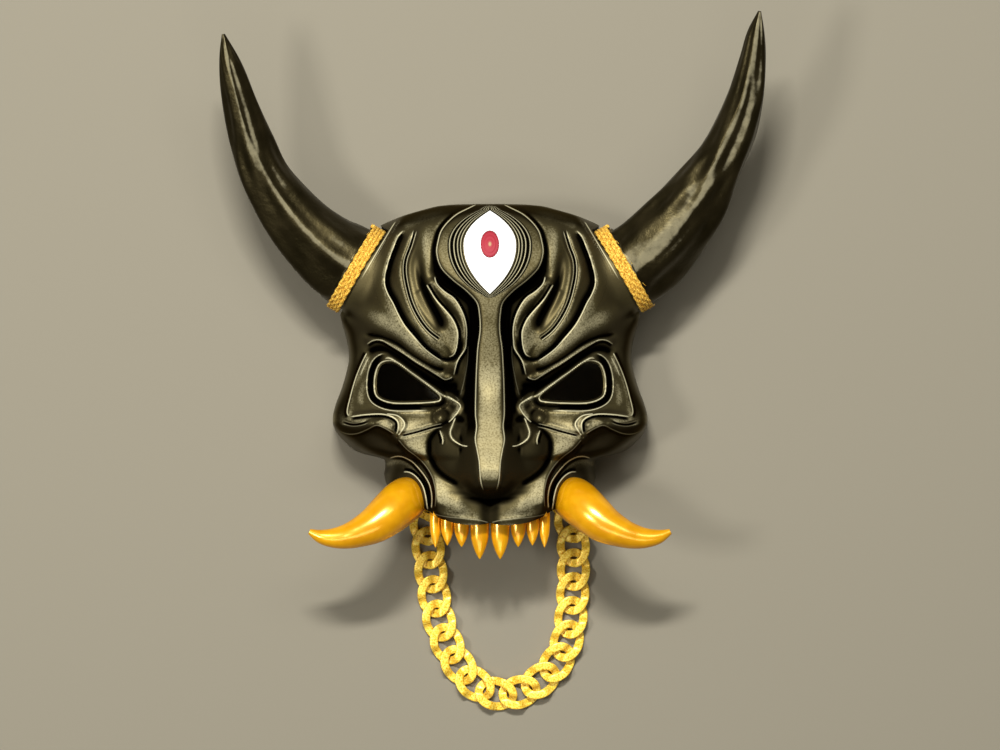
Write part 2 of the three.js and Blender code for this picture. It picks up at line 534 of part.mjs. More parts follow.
function link(i) {
  const at = (k) => new THREE.Vector3(...LINKS[Math.min(LINKS.length - 1, Math.max(0, k))]);
  const fromEnd = Math.min(i, LINKS.length - 1 - i);
  const before = i === 0 ? new THREE.Vector3(-LUG.x, LUG.y, LUG.hole + 3) : at(i - 1);
  const after = i === LINKS.length - 1 ? new THREE.Vector3(LUG.x, LUG.y, LUG.hole + 3) : at(i + 1);
  const way = after.sub(before).normalize();
  const across = new THREE.Vector3(-way.y, way.x, 0);
  if (fromEnd < 4) across.set(i < 4 ? 1 : -1, 0, 0);
  across.addScaledVector(way, -across.dot(way)).normalize();
  // The two links that stand over the ground at each end are turned a quarter round
  if (fromEnd === 0 || fromEnd === 2) across.applyAxisAngle(way, Math.PI / 2);
  const up = new THREE.Vector3().crossVectors(across, way);
  const lean = fromEnd < 3 ? 0 : LINK.lean;
  const n = 12;
  const section = [[0.5, 0.5], [-0.5, 0.5], [-0.5, -0.5], [0.5, -0.5]];
  const points = [];
  const faces = [];
  for (let j = 0; j < n; j += 1) {
    const angle = (2 * Math.PI * j) / n;
    const cx = LINK.across * Math.cos(angle);
    const cy = LINK.along * Math.sin(angle);
    const nx = Math.cos(angle) / LINK.across;
    const ny = Math.sin(angle) / LINK.along;
    const size = Math.hypot(nx, ny);
    for (const [a, b] of section) {
      const x = cx + (a * LINK.band * nx) / size;
      const y = cy + (a * LINK.band * ny) / size;
      const z = b * LINK.thick - lean * Math.tanh((x * y) / LINK.turn);
      points.push(at(i).addScaledVector(across, x).addScaledVector(way, y).addScaledVector(up, z));
    }
  }
  for (let j = 0; j < n; j += 1) {
    for (let k = 0; k < 4; k += 1) {
      const a = j * 4 + k;
      const b = j * 4 + ((k + 1) % 4);
      const c = ((j + 1) % n) * 4 + ((k + 1) % 4);
      const d = ((j + 1) % n) * 4 + k;
      faces.push([a, c, b], [a, d, c]);
    }
  }
  return geometryOf(points, faces);
}

// Materials and nodes
const black = new THREE.MeshStandardMaterial({ color: 0x17160f, roughness: 0.42 });
const gold = new THREE.MeshStandardMaterial({ color: 0xe8a414, roughness: 0.35, metalness: 0.6 });
const chainGold = new THREE.MeshStandardMaterial({ color: 0xc9971c, roughness: 0.45, metalness: 0.8 });
const white = new THREE.MeshStandardMaterial({ color: 0xf2f1ea, roughness: 0.6 });
const red = new THREE.MeshStandardMaterial({ color: 0xb02538, roughness: 0.6 });
const jute = new THREE.MeshStandardMaterial({ color: 0xc48f38, roughness: 0.9 });

const group = new THREE.Group();
group.name = "oni_mask";

function plainGeometry(item) {
  if (item.isBufferGeometry) return item;
  const mesh = item.getMesh();
  const geometry = new THREE.BufferGeometry();
  const positions = [];
  for (let i = 0; i < mesh.numVert; i += 1) {
    for (let k = 0; k < 3; k += 1) positions.push(mesh.vertProperties[i * mesh.numProp + k]);
  }
  geometry.setAttribute("position", new THREE.Float32BufferAttribute(positions, 3));
  geometry.setIndex([...mesh.triVerts]);
  return geometry;
}

function node(name, item, material) {
  const mesh = new THREE.Mesh(plainGeometry(item), material);
  mesh.name = name;
  group.add(mesh);
}

// A closed geometry turned to face outwards
function outside(geometry) {
  const body = solidOf(geometry);
  if (body.volume() > 0) return geometry;
  const index = geometry.index.array;
  for (let i = 0; i < index.length; i += 3) [index[i + 1], index[i + 2]] = [index[i + 2], index[i + 1]];
  return geometry;
}

node("mask_shell", shell, black);
node("horn_left", horn(LEFT_HORN, -1), black);
node("horn_right", horn(RIGHT_HORN, 1), black);
const twine = outside(twineBand());
node("twine_left", mirrored(twine), jute);
node("twine_right", twine, jute);
node("tusk_left", solidOf(mirrored(tuskBody)).subtract(lifted), gold);
node("tusk_right", solidOf(tuskBody).subtract(lifted), gold);
node("upper_teeth", teethRow(), gold);
node("third_eye_white", almond, white);
node("third_eye_pupil", pupil, red);
LINKS.forEach((_, i) => node("chain_link_" + String(i + 1).padStart(2, "0"), outside(link(i)), chainGold));

// The origin goes under the middle of the whole object, on the ground it lies on
group.updateMatrixWorld(true);
const bounds = new THREE.Box3().setFromObject(group, true);
group.position.set(-(bounds.min.x + bounds.max.x) / 2, -(bounds.min.y + bounds.max.y) / 2, -bounds.min.z);

export default group;
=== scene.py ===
# Looks of the horned demon mask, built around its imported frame. The mask lies on its back, seen from above.
import math

import bmesh
import bpy
import numpy as np
from mathutils import Matrix, Vector


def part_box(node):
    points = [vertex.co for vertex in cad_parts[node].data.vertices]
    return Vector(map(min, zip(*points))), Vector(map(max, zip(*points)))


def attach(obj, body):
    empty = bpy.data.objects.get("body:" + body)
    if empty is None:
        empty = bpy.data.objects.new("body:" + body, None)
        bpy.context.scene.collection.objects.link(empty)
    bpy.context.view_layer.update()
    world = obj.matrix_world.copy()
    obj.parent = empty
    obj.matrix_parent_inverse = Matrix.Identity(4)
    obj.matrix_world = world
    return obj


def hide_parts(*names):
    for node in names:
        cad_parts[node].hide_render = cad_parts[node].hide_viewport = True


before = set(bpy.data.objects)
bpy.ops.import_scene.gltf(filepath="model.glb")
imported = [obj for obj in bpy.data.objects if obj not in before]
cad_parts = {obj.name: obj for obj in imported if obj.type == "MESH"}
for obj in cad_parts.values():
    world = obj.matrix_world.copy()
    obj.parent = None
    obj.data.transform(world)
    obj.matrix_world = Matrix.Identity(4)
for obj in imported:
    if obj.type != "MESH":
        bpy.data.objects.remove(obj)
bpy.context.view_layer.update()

# Lengths are millimetres in the face's own frame: x to the right, y up the face, z up from the ground, and
# the side that is modelled is the right one. place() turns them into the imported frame's metres.
MM = 0.001
WALL = 4.0  # the wall behind the carving
FIT_GAP = 0.3  # clearance between pieces
EDGE_POWER = 4.5  # how squarely the sides turn down
CROWN_Y = 108.4
SOLID_CROWN_Y = 107.2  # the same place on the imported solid
CROWN_START = 40.0
LIP_END = -75.0
CHIN_SLOPE = 2.2
# The right horn's collar: its middle, the angle of its axis, its radius across and up, and its length
COLLAR_AT = np.array([70.0, 70.0, 38.0])
COLLAR_ANGLE = math.radians(30)
COLLAR_RADIUS = 23.0
COLLAR_DEPTH = 20.0
COLLAR_CUT = 4.7

low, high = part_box("mask_shell")
SHIFT = np.array([(low.x + high.x) / 2 / MM, high.y / MM - SOLID_CROWN_Y, 0.0])

# Half width of the outline, height of the centre line and fall to the side, by height up the face
HALF_WIDTH = [(-75, 30), (-66, 36), (-60, 46), (-54, 55.5), (-49, 58), (-42, 58.7), (-33.2, 58.8),
              (-31.6, 63.5), (-30.2, 70), (-28, 75.2), (-24.5, 79.6), (-18.2, 85), (-12.1, 87.2), (-4, 86),
              (6.6, 82.2), (16, 79.5), (23.7, 78.2), (33, 79.5), (42.9, 82), (55, 83), (70, 79), (82, 71.5),
              (95.2, 61.6), (101.2, 50.1), (106.2, 33.6), (107.4, 28), (108, 20), (108.4, 9)]
CENTRE = [(-75, 68), (-60, 72), (-45, 71), (-30, 69), (-12, 68), (5, 68), (20, 72), (40, 77), (60, 79),
          (80, 77), (95, 72), (107.2, 64)]
SIDE_DROP = [(-75, 22), (-60, 26), (-45, 34), (-33, 40), (-24, 34), (-14, 20), (0, 20), (20, 24), (40, 28),
             (60, 32), (80, 30), (107.2, 14)]
# The raised strip that runs from the third eye down the nose: its half width, height and side slope
STRIP = [(-75, 0.4), (-54, 0.4), (-51.5, 1.8), (-48, 3.8), (-43, 5.0), (-33, 5.8), (-27, 6.9), (-21, 7.9),
         (-14, 7.2), (-7.7, 7.8), (5, 7.7), (16.5, 7.3), (28.1, 6.6), (38.5, 5.3), (47.3, 5.7), (53.4, 7.2),
         (59.5, 12.7), (65.7, 20.4), (72.1, 26.4), (79.8, 28.9), (85.8, 28.4), (93.5, 25.9), (101.2, 18.7),
         (105.8, 10.5), (107.2, 8)]
NOSE = [(-75, 0), (-56.5, 0), (-54, 3.5), (-51, 11), (-47.5, 19.5), (-43, 25), (-37, 27), (-25, 24),
        (-10, 18.5), (5, 12.5), (18, 7.5), (32, 4), (50, 2.5), (107.2, 2)]
NOSE_SLOPE = [(-75, 6), (-50, 9), (-38, 12), (-22, 9), (-8, 6.5), (5, 5.5), (20, 4.2), (40, 3.4), (107.2, 3)]
# The black valley beside the strip: its depth and its reach
VALLEY = [(-34, 0), (-22, 1.2), (-8, 4), (8, 5.5), (60, 6), (70, 4.6), (78, 2.8), (100, 2.4), (107.2, 1)]
VALLEY_REACH = [(-34, 3), (20, 2.9), (55, 3.0), (66, 2.8), (74, 1.6), (82, 1.0), (107.2, 0.9)]
EYE_HOLE = [(28.3, 1.6), (30.8, 0.3), (40.3, -0.3), (52.3, -0.3), (59.4, 1.7), (61.9, 5.1), (61.8, 13),
            (59.4, 19), (54.6, 20.3), (49.8, 18.4), (42.7, 12.9), (34.3, 6.7)]
NOSE_WING = [(6, -52.6), (15.8, -45.2), (22.7, -41.3), (27.5, -37.3), (31, -31.8), (32, -25), (31, -19.5),
             (27, -14.6), (20, -12), (10, -13)]
NOSE_WINGS = [(0, -54), *NOSE_WING, (0, -14), *[(-x, y) for x, y in reversed(NOSE_WING)]]
SOFT = 2.5  # how softly the nose and its wings run into each other
STRIP_BEVEL = 2.6
# Broad folds under the fine carving: a curve, its height, its reach on the left and right, and its taper
BROAD = [
    ([(78, 48), (55, 40), (40, 29), (24, 16)], 6.5, 7, 14, 20),
    ([(88, -14), (70, -12), (56, -16), (48, -24), (38, -34), (31, -46), (27.5, -64)], 7, 3.5, 16, 0),
    ([(38, 106), (36.5, 92), (35.5, 80), (34.5, 67)], 2.4, 5, 5, 18),
    ([(50, 80), (49, 66), (43, 52), (35, 40), (27, 31)], 1.6, 3, 3, 8),
]
# Crests: a curve, height, reach on the left and right, taper, and the depth of the groove on the short side
CRESTS = {
    "inner forehead fold": (
        [(30.3, 68), (28.9, 63.3), (24.8, 59.1), (19.9, 55.7), (16.5, 50.9), (13.8, 44.7), (12.7, 38.5),
         (12.9, 32.3), (13.6, 27.8), (17.7, 21.3), (19.9, 13.1)], 2.6, 4.2, 0.7, 4, 0),
    "tongue, near edge": (
        [(34.6, 63.2), (29.6, 55), (24.1, 48.8), (20.3, 44), (17.9, 38.5), (17.5, 34.4), (18.2, 28.6),
         (19.8, 24.8), (22.6, 23.5)], 2.5, 5, 0.7, 2, 1.2),
    "tongue, far edge": (
        [(46.8, 93.5), (50.5, 89.4), (53.3, 82.5), (55.3, 77), (57.4, 68.8), (57.6, 63.3), (55.7, 57.8),
         (52.9, 52.9), (50, 46.8), (46.4, 40.6), (41.3, 34.4), (35.8, 28.2), (30.5, 24),
         (25.5, 20.8)], 2.4, 8, 0.7, 6, 2.8),
    "lower brow": (
        [(68, 30.3), (63.9, 32.7), (59.1, 32.7), (53.6, 29.6), (46.8, 25.4), (39.9, 20.6), (33, 16.5),
         (27.5, 13), (24.6, 11.3), (21.6, 12), (20.2, 13.4)], 2.4, 1.2, 2.0, 3, 0),
    "rim over the eye": (
        [(58, 22.5), (55, 23), (49.5, 19.9), (44, 15.8), (37.1, 11), (31.6, 6.9), (26.1, 2.8), (22, 1),
         (16.5, -2)], 2.4, 1.4, 1.4, 4, 0),
    "hook at the eye's inner corner": (
        [(24, 2.5), (20, 0.3), (16.2, -2.8), (17.4, -6.2), (20.4, -10), (23, -12.4)], 2.6, 1.5, 1.5, 3, 0),
    "eye's outer line": (
        [(67.4, 26.3), (71.2, 18.6), (74.2, 11), (76.6, 2.4), (78.4, -6.2),
         (77, -9.2)], 1.8, 0.8, 1.6, 3, 1),
    "eye's second line": ([(66.2, 24), (69, 18.6), (71.6, 12.6)], 1, 0.7, 0.7, 4, 0),
    "cheek line": (
        [(77, -9.2), (67.4, -7.9), (59.1, -7.6), (53.6, -9), (50.3, -11.7), (50.1, -15.8),
         (51.2, -19)], 1.4, 0.7, 1.4, 4, 1.2),
    "outer cheek ring": (
        [(57, -7.4), (50.9, -8.3), (47.4, -11), (46.6, -13.8), (48.4, -17),
         (50.2, -19.6)], 1.4, 0.9, 0.9, 3, 0),
    "cheek facet": (
        [(63, -13), (60.5, -11.2), (57, -10.6), (54.3, -12), (52.6, -15.4)], 1.6, 1.0, 2.6, 2, 0),
    "cheek's lower edge": (
        [(86, -15.8), (79, -18.6), (73, -18.4), (67, -16), (62, -13.7), (57, -15.5),
         (51.6, -18.9)], 2.2, 1.0, 5, 4, 0),
    "edge beside the nose": (
        [(50.5, -21), (45.4, -26.8), (39.9, -30.9), (35.1, -35.8), (31.6, -41.4), (30, -47), (29.4, -52.3),
         (30, -59)], 1.8, 0.8, 6, 3, 2.6),
    "mouth ring": (
        [(59, -38), (56, -32.8), (50, -30.8), (44, -33), (39.9, -36.4), (35.4, -41.8), (32.8, -46.8),
         (31.7, -52.9), (32, -59.5)], 2.0, 0.7, 3.0, 3, 1.2),
    "inner mouth ring": (
        [(48, -39.5), (44.4, -39.6), (40.6, -41.9), (37.1, -46.4), (35.3, -51.9), (34.4, -58),
         (34, -60.5)], 1.6, 1.2, 0.7, 3, 1.2),
    "outer curl": ([(27.4, -16), (26.2, -19.5), (25.6, -22), (25.9, -24.6)], 1.8, 1.0, 1.2, 2.5, 0),
    "inner curl": (
        [(18.6, -9), (20.4, -13.5), (21.6, -17.6), (20.2, -21.3), (15.4, -24.4),
         (11.5, -25)], 2.0, 1.1, 1.1, 3, 0),
    "facet beside the nose": ([(17.4, -11), (14.4, -16.4), (10.4, -20.6)], 1.4, 2.4, 2.0, 4, 0),
    "third line": ([(11.9, 30.9), (12.2, 21.3), (14, 11), (15.4, 5.5), (16.3, 1.5)], 1.2, 0.7, 0.7, 4, 0),
    "lip ridge": ([(18, -50), (17.4, -56), (16, -64)], 1.4, 4, 4, 6, 0),
    "lip edge": ([(33, -61.6), (25, -63.4), (15, -64.4), (6, -65.4), (0, -67)], 0.9, 1.2, 1.2, 4, 0),
}
# Grooves: a curve, depth, half width, height of the lips on both sides, and the taper at its start and end
GROOVES = {
    "slit": (
        [(40.6, 94), (43.3, 84.6), (46, 77), (46.5, 70.1), (45.2, 61.9), (42.6, 52.9), (38.5, 44.7),
         (33.4, 38), (27.4, 33.2)], 2.6, 0.75, 0.5, 10, 1.2),
    "slot": (
        [(39.5, 84), (38.5, 72), (36.2, 62), (33, 54.5), (29.4, 48), (26.6, 42),
         (26.2, 36.4)], 4.0, 1.9, 0.0, 26, 7),
    "groove under the upper brow": (
        [(70, 36.5), (60, 34.6), (50.9, 30.8), (44, 25.6), (35.8, 20.3), (29, 17.2),
         (24.4, 16.4)], 3.0, 1.1, 0.0, 6, 2),
    "groove over the eye": (
        [(68.5, 25), (62, 28.2), (56, 27.6), (50, 23.6), (44, 18.8), (38.5, 14.9), (31.6, 10.4), (22, 7.8),
         (16.5, 8.4)], 3.6, 1.9, 0.0, 5, 3),
    "groove round the tongue's tip": (
        [(40, 33.6), (36, 29.6), (32, 26.2), (28, 23.6), (23.6, 22), (19.4, 23), (16.9, 26), (15.8, 30.2),
         (15.6, 35)], 2.4, 1.1, 0.0, 5, 5),
    "hollow beside the eye's corner": (
        [(31, 9.4), (25, 6.4), (19.5, 4.8), (15.5, 3.6)], 1.2, 1.6, 0.0, 4, 2),
    "line under the cheek line": (
        [(83, -11.4), (76, -13.4), (70, -12.8), (65, -10.6)], 1.4, 0.9, 0.5, 4, 4),
    "scratch": ([(48.8, -19.6), (39.9, -17.4), (31.6, -14.9), (25, -13.4)], 0.7, 0.4, 0.5, 2, 2),
    "groove round the nose wing": (
        [(24, -14.5), (29.4, -17.2), (32.6, -21.6), (33.3, -26), (32.2, -32.4), (28.8, -38), (23.4, -42.4),
         (16.4, -46.4)], 2.2, 1.2, 0.0, 4, 4),
    "groove above the curl": ([(22.4, -13.4), (17.6, -9.4), (13.8, -12)], 2.0, 1.0, 0.0, 2, 2),
    "philtrum": ([(0, -52), (0, -60), (0, -72)], 2.4, 4.5, 0.0, 4, 0),
}
LEAST_REACH = 1.05  # the narrowest ridge or groove that the mesh can carry
SPAN = 2.6  # how many reaches from its curve a ridge still counts
FOOT_AT, FOOT_HALF = 2.1, 1.2  # the groove at a crest's foot: its distance and half width
LIP_HALF = 0.9  # half width of the lips beside a groove
BALL_AT = (26.8, -8.9)
BALL_RADIUS = 2.7
DOT_AT = (50.5, -20)
EYE_REACH = 12  # how far from the eye hole its rims are measured
# The third eye: its height up the face, half width, reach up and down, and how full its outline is
EYE_Y = 84.4
EYE_HALF = 14.2
EYE_UP = 19.25
EYE_DOWN = 26.5
EYE_POINT = 2.1
TIP_GROWTH = 1.3  # how much faster its points grow than its sides
PUPIL_AT = np.array([0.0, 84.9, 0.0])
PUPIL_HALF = 5.0
PUPIL_UP = 7.3


def smoothstep(a, b, v):
    """A soft step from 0 at a to 1 at b."""
    t = np.clip((v - a) / (b - a), 0, 1)
    return t * t * (3 - 2 * t)


def bump(v, width):
    """A bell curve, 1 at 0 and fallen to about a third at its width."""
    return np.exp(-((v / width) ** 2))


def fade(s, total, start, end):
    """Fades a line in over its first millimetres and out over its last."""
    return (smoothstep(0, start, s) if start else 1) * (smoothstep(0, end, total - s) if end else 1)


def smooth(table, v):
    """A smooth curve through the rows of a table."""
    p, q = np.array(table, float).T
    slope = np.empty_like(q)
    slope[1:-1] = (q[2:] - q[:-2]) / (p[2:] - p[:-2])
    slope[0] = (q[1] - q[0]) / (p[1] - p[0])
    slope[-1] = (q[-1] - q[-2]) / (p[-1] - p[-2])
    v = np.clip(v, p[0], p[-1])
    k = np.clip(np.searchsorted(p, v, side="right") - 1, 0, len(p) - 2)
    h = p[k + 1] - p[k]
    t = (v - p[k]) / h
    level = (2 * t**3 - 3 * t**2 + 1) * q[k] + (3 * t**2 - 2 * t**3) * q[k + 1]
    return level + h * ((t**3 - 2 * t**2 + t) * slope[k] + (t**3 - t**2) * slope[k + 1])


def spline(points, steps=4, closed=False):
    """Points along a smooth curve through a few."""
    p = np.array(points, float)
    p = np.vstack([p[-1], p, p[0], p[1]]) if closed else np.vstack([2 * p[0] - p[1], p, 2 * p[-1] - p[-2]])
    t = np.linspace(0, 1, steps, endpoint=False)[:, None]
    out = []
    for a, b, c, d in zip(p, p[1:], p[2:], p[3:]):
        curved = (2 * a - 5 * b + 4 * c - d) * t**2 + (3 * b - a - 3 * c + d) * t**3
        out.append(0.5 * (2 * b + (c - a) * t + curved))
    return np.vstack([*out, p[-2][None]])


def to_curve(x, y, curve):
    """Signed distance to a curve, positive on its left, the length along it, and its whole length."""
    step = np.diff(curve, axis=0)
    length = np.hypot(step[:, 0], step[:, 1])
    start = np.concatenate([[0], np.cumsum(length)[:-1]])
    best = np.full(x.shape, np.inf)
    side = np.ones(x.shape)
    along = np.zeros(x.shape)
    for (ax, ay), (dx, dy), size, before in zip(curve, step, length, start):
        px, py = x - ax, y - ay
        t = np.clip((px * dx + py * dy) / size**2, 0, 1)
        d = (px - t * dx) ** 2 + (py - t * dy) ** 2
        near = d < best
        best[near] = d[near]
        side[near] = (dx * py - dy * px)[near]
        along[near] = (before + t * size)[near]
    return np.sqrt(best) * np.where(side < 0, -1.0, 1.0), along, length.sum()


def around(x, y, curve, reach):
    """Which places lie in a curve's box, grown by a reach."""
    return ((x > curve[:, 0].min() - reach) & (x < curve[:, 0].max() + reach)
            & (y > curve[:, 1].min() - reach) & (y < curve[:, 1].max() + reach))


def carve(z, x, y, points, height, left, right, taper, groove=0.0):
    """Adds a ridge along a curve through a few points, with a groove at the foot of its short side."""
    curve = spline(points)
    left, right = max(left, LEAST_REACH), max(right, LEAST_REACH)
    near = around(x, y, curve, SPAN * max(left, right) + 3)
    d, s, total = to_curve(x[near], y[near], curve)
    ends = fade(s, total, taper, taper)
    z[near] += height * ends * np.where(d > 0, bump(d, left), bump(d, right))
    if groove:
        outward = d if left < right else -d
        z[near] -= groove * ends * bump(outward - FOOT_AT, FOOT_HALF)


def engrave(z, x, y, points, depth, half, lips, start, end):
    """Cuts a groove along a curve through a few points, with a raised lip on each side."""
    curve = spline(points)
    near = around(x, y, curve, SPAN * half + 4)
    d, s, total = to_curve(x[near], y[near], curve)
    half = max(half, LEAST_REACH)
    profile = lips * bump(np.abs(d) - 2 * half, LIP_HALF) - depth * bump(d, half)
    z[near] += fade(s, total, start, end) * profile


def loop_distance(x, y, points, reach):
    """Distance outside a closed curve, negative inside, and reach wherever it is further."""
    curve = spline(points, 5, True)
    near = around(x, y, curve, reach)
    px, py = x[near], y[near]
    d = to_curve(px, py, curve)[0]
    inside = np.zeros(px.shape, bool)
    for (ax, ay), (bx, by) in zip(curve, curve[1:]):
        if ay != by:
            inside ^= ((ay > py) != (by > py)) & (px < (bx - ax) * (py - ay) / (by - ay) + ax)
    out = np.full(x.shape, float(reach))
    out[near] = np.where(inside, -np.abs(d), np.minimum(np.abs(d), reach))
    return out


def almond_half(y, grow=0.0):
    """Half width of the third eye's white at a height up the face."""
    up = np.where(y > EYE_Y, EYE_UP, EYE_DOWN) + TIP_GROWTH * grow
    return (EYE_HALF + grow) * np.clip(1 - (np.abs(y - EYE_Y) / up) ** EYE_POINT, 0, 1)


def inside_strip(x, y):
    """Distance inside the edge of the raised strip, square to it, and negative outside."""
    lean = smooth(STRIP, y + 0.5) - smooth(STRIP, y - 0.5)
    return (smooth(STRIP, y) - x) / np.hypot(1, lean)


def bevel(y):
    """Height of the bevel on the strip's edges: full on the nose, lower on the forehead."""
    return smoothstep(-54, -46, y) + 0.4 * smoothstep(8, 30, y)


def lower_lid(x, y, inner=1.0):
    """Where the eye hole has a second rim: under the eye and round its outer corner."""
    return np.maximum(smoothstep(6, 1, y - 0.35 * (62 - x)) * inner, smoothstep(57, 61, x))


def face_height(x, y):
    """The face as a height over the ground, before its edges turn down."""
    x = np.abs(x)
    z = smooth(CENTRE, y) - smooth(SIDE_DROP, y) * np.clip(x / smooth(HALF_WIDTH, y), 0, 1.1) ** 2.2
    hollow_cheek = 9 * bump(np.hypot((x - 42) / 22, (y - 5) / 11), 1)
    eye_corner = 6 * bump(np.hypot((x - 20) / 9, (y - 2) / 12), 1)
    z -= hollow_cheek + eye_corner
    for fold in BROAD:
        carve(z, x, y, *fold)
    in_strip = inside_strip(x, y)
    nose = smooth(NOSE, y) * np.where(in_strip > 0, 1, bump(in_strip, smooth(NOSE_SLOPE, y)))
    inside_wing = np.clip(-loop_distance(x, y, NOSE_WINGS, 3) / 14, 0, 1)
    beside_nose = np.maximum(smoothstep(11, 18, x), smoothstep(-15, -34, y))
    wing = 11 * np.sqrt(1 - (1 - inside_wing) ** 2) * beside_nose
    edge = STRIP_BEVEL * smoothstep(-1.2, 0.2, in_strip) * bevel(y)
    z += np.log(np.exp(nose / SOFT) + np.exp(wing / SOFT)) * SOFT - SOFT * math.log(2) + edge
    reach = smooth(VALLEY_REACH, y)
    z -= smooth(VALLEY, y) * bump(in_strip + 0.7 + reach, reach)
    for fold in CRESTS.values():
        carve(z, x, y, *fold)
    for groove in GROOVES.values():
        engrave(z, x, y, *groove)
    d = loop_distance(x, y, EYE_HOLE, EYE_REACH)
    z += 1.6 * bump(d - 1.5, 1.0) - 2.8 * bump(d - 3.6, 1.0) * lower_lid(x, y)
    z += 1.4 * bump(d - 5.4, 0.8) * lower_lid(x, y)
    from_ball = np.hypot(x - BALL_AT[0], y - BALL_AT[1]) / BALL_RADIUS
    z += 2.4 * bump(from_ball, 0.8)
    z -= 1.6 * bump(from_ball - 1.5, 0.4)
    z += 1.2 * bump(np.hypot(x - DOT_AT[0], y - DOT_AT[1]) - 1.2, 0.5)
    return z


OUTWARD = np.array([math.cos(COLLAR_ANGLE), math.sin(COLLAR_ANGLE), 0.0])
ACROSS = np.array([-math.sin(COLLAR_ANGLE), math.cos(COLLAR_ANGLE), 0.0])
UP = np.array([0.0, 0.0, 1.0])


def from_collar(x, y):
    """Distance out along a horn's axis from the middle of its collar, and distance across the axis."""
    dx, dy = np.abs(x) - COLLAR_AT[0], y - COLLAR_AT[1]
    return dx * OUTWARD[0] + dy * OUTWARD[1], dx * ACROSS[0] + dy * ACROSS[1]


def collar_swelling(x, y, z):
    """The swelling that runs up to each horn's collar."""
    s, v = from_collar(x, y)
    top = COLLAR_AT[2] + COLLAR_DEPTH * np.sqrt(np.clip(1 - (v / (COLLAR_RADIUS + 1)) ** 2, 0, 1))
    blend = smoothstep(-26, -3, s) * smoothstep(34, 24, np.abs(v))
    return z + blend * 4 * np.log(1 + np.exp((top - z) / 4))


def crown(y):
    """How the face turns down towards the top of the head, from 1 to 0."""
    up = np.clip((y - CROWN_START) / (CROWN_Y - CROWN_START), 0, 1)
    return (1 - up**6) ** (1 / 6)


def shell_height(x, y):
    """The face with its sides and crown turned down to the rim."""
    side = (1 - np.clip(np.abs(x) / smooth(HALF_WIDTH, y), 0, 1) ** EDGE_POWER) ** (1 / EDGE_POWER)
    return collar_swelling(x, y, face_height(x, y) * side * crown(y))


# Fine maps of the face: painted shade for the places that lie deep between folds, on steep sides and in
# grooves, and a painted sheen on its flat, raised places
MAP_STEP = 0.5
MAP_X = np.arange(0, 92, MAP_STEP)
MAP_Y = np.arange(-78, 110, MAP_STEP)
# Swaths with a painted sheen: a curve, how strong the sheen is, and the reach to each side
PAINTED_SHEEN_ALONG = [
    ([(74, 52), (64, 46.5), (52, 40), (41, 31.5), (32, 25), (24, 19)], 1.0, 5),
    ([(14, 104), (26, 102.5), (38, 99.5), (50, 94)], 0.8, 3.5),
    ([(65.5, 20), (69.5, 10), (71, 0), (68, -5)], 0.75, 2.5),
    ([(62, -4), (50, -5), (40, -6), (32, -8)], 0.9, 4),
    ([(46, -20), (37, -24), (36, -30)], 0.9, 4.5),
    ([(30, -50), (26, -56), (20, -60)], 0.5, 5),
    ([(68, 31), (60, 32), (53.6, 29.4), (46.8, 25.2), (39.9, 20.5), (33, 16.6), (27.5, 13.2), (24.6, 11.4)],
     1.0, 1.3),
    ([(60, 23), (55, 23), (49.5, 19.9), (44, 15.8), (37.1, 11), (31.6, 6.9), (26.1, 2.8), (20, 0)], 1.0, 1.0),
    ([(27, 3), (24, 1.6), (20.6, -0.4), (17.6, -3), (18.4, -6.2), (21, -9.6), (23.4, -12)], 1.0, 1.5),
    ([(18.6, -9), (20.4, -13.5), (21.6, -17.6), (20.2, -21.3), (15.4, -24.4)], 0.9, 1.2),
    ([(27.2, -14.5), (26.2, -18.5), (25.6, -22), (25.8, -25)], 0.9, 1.3),
    ([(60, -37.5), (54, -34.6), (49, -34.2), (44, -36.2), (40, -39.8), (36.6, -45)], 0.8, 2.2),
]
FINE_REACH = 2.5  # under this reach, a swath of painted sheen is a fine ridge, a painted highlight that stays clear of the painted shade around it
# A curve along which the painted sheen is held back, a painted shade
KEPT_DARK = [(41, 80), (39, 66), (36.5, 55), (32.5, 47), (29, 40)]


def blur(values, reach):
    """A soft average over a reach in millimetres."""
    n = int(3 * reach / MAP_STEP)
    weights = np.exp(-0.5 * (np.arange(-n, n + 1) * MAP_STEP / reach) ** 2)
    for axis in (0, 1):
        padded = np.pad(values, [(n, n) if k == axis else (0, 0) for k in (0, 1)], mode="reflect")
        count = values.shape[axis]
        shares = enumerate(weights / weights.sum())
        values = sum(w * np.take(padded, range(k, k + count), axis) for k, w in shares)
    return values


def fall(z):
    """How steep a map of heights is."""
    return np.hypot(*np.gradient(z, MAP_STEP))


def look_up(table, low_x, low_y, step, x, y):
    """Values of a table of points at any places between them."""
    i = np.clip((x - low_x) / step, 0, table.shape[0] - 1.001)
    j = np.clip((y - low_y) / step, 0, table.shape[1] - 1.001)
    i0, j0 = i.astype(int), j.astype(int)
    a, b = i - i0, j - j0
    return (table[i0, j0] * (1 - a) * (1 - b) + table[i0 + 1, j0] * a * (1 - b)
            + table[i0, j0 + 1] * (1 - a) * b + table[i0 + 1, j0 + 1] * a * b)


def on_face(table, x, y):
    """Values of one of the face's maps, which holds the right half."""
    return look_up(table, MAP_X[0], MAP_Y[0], MAP_STEP, np.abs(x), y)


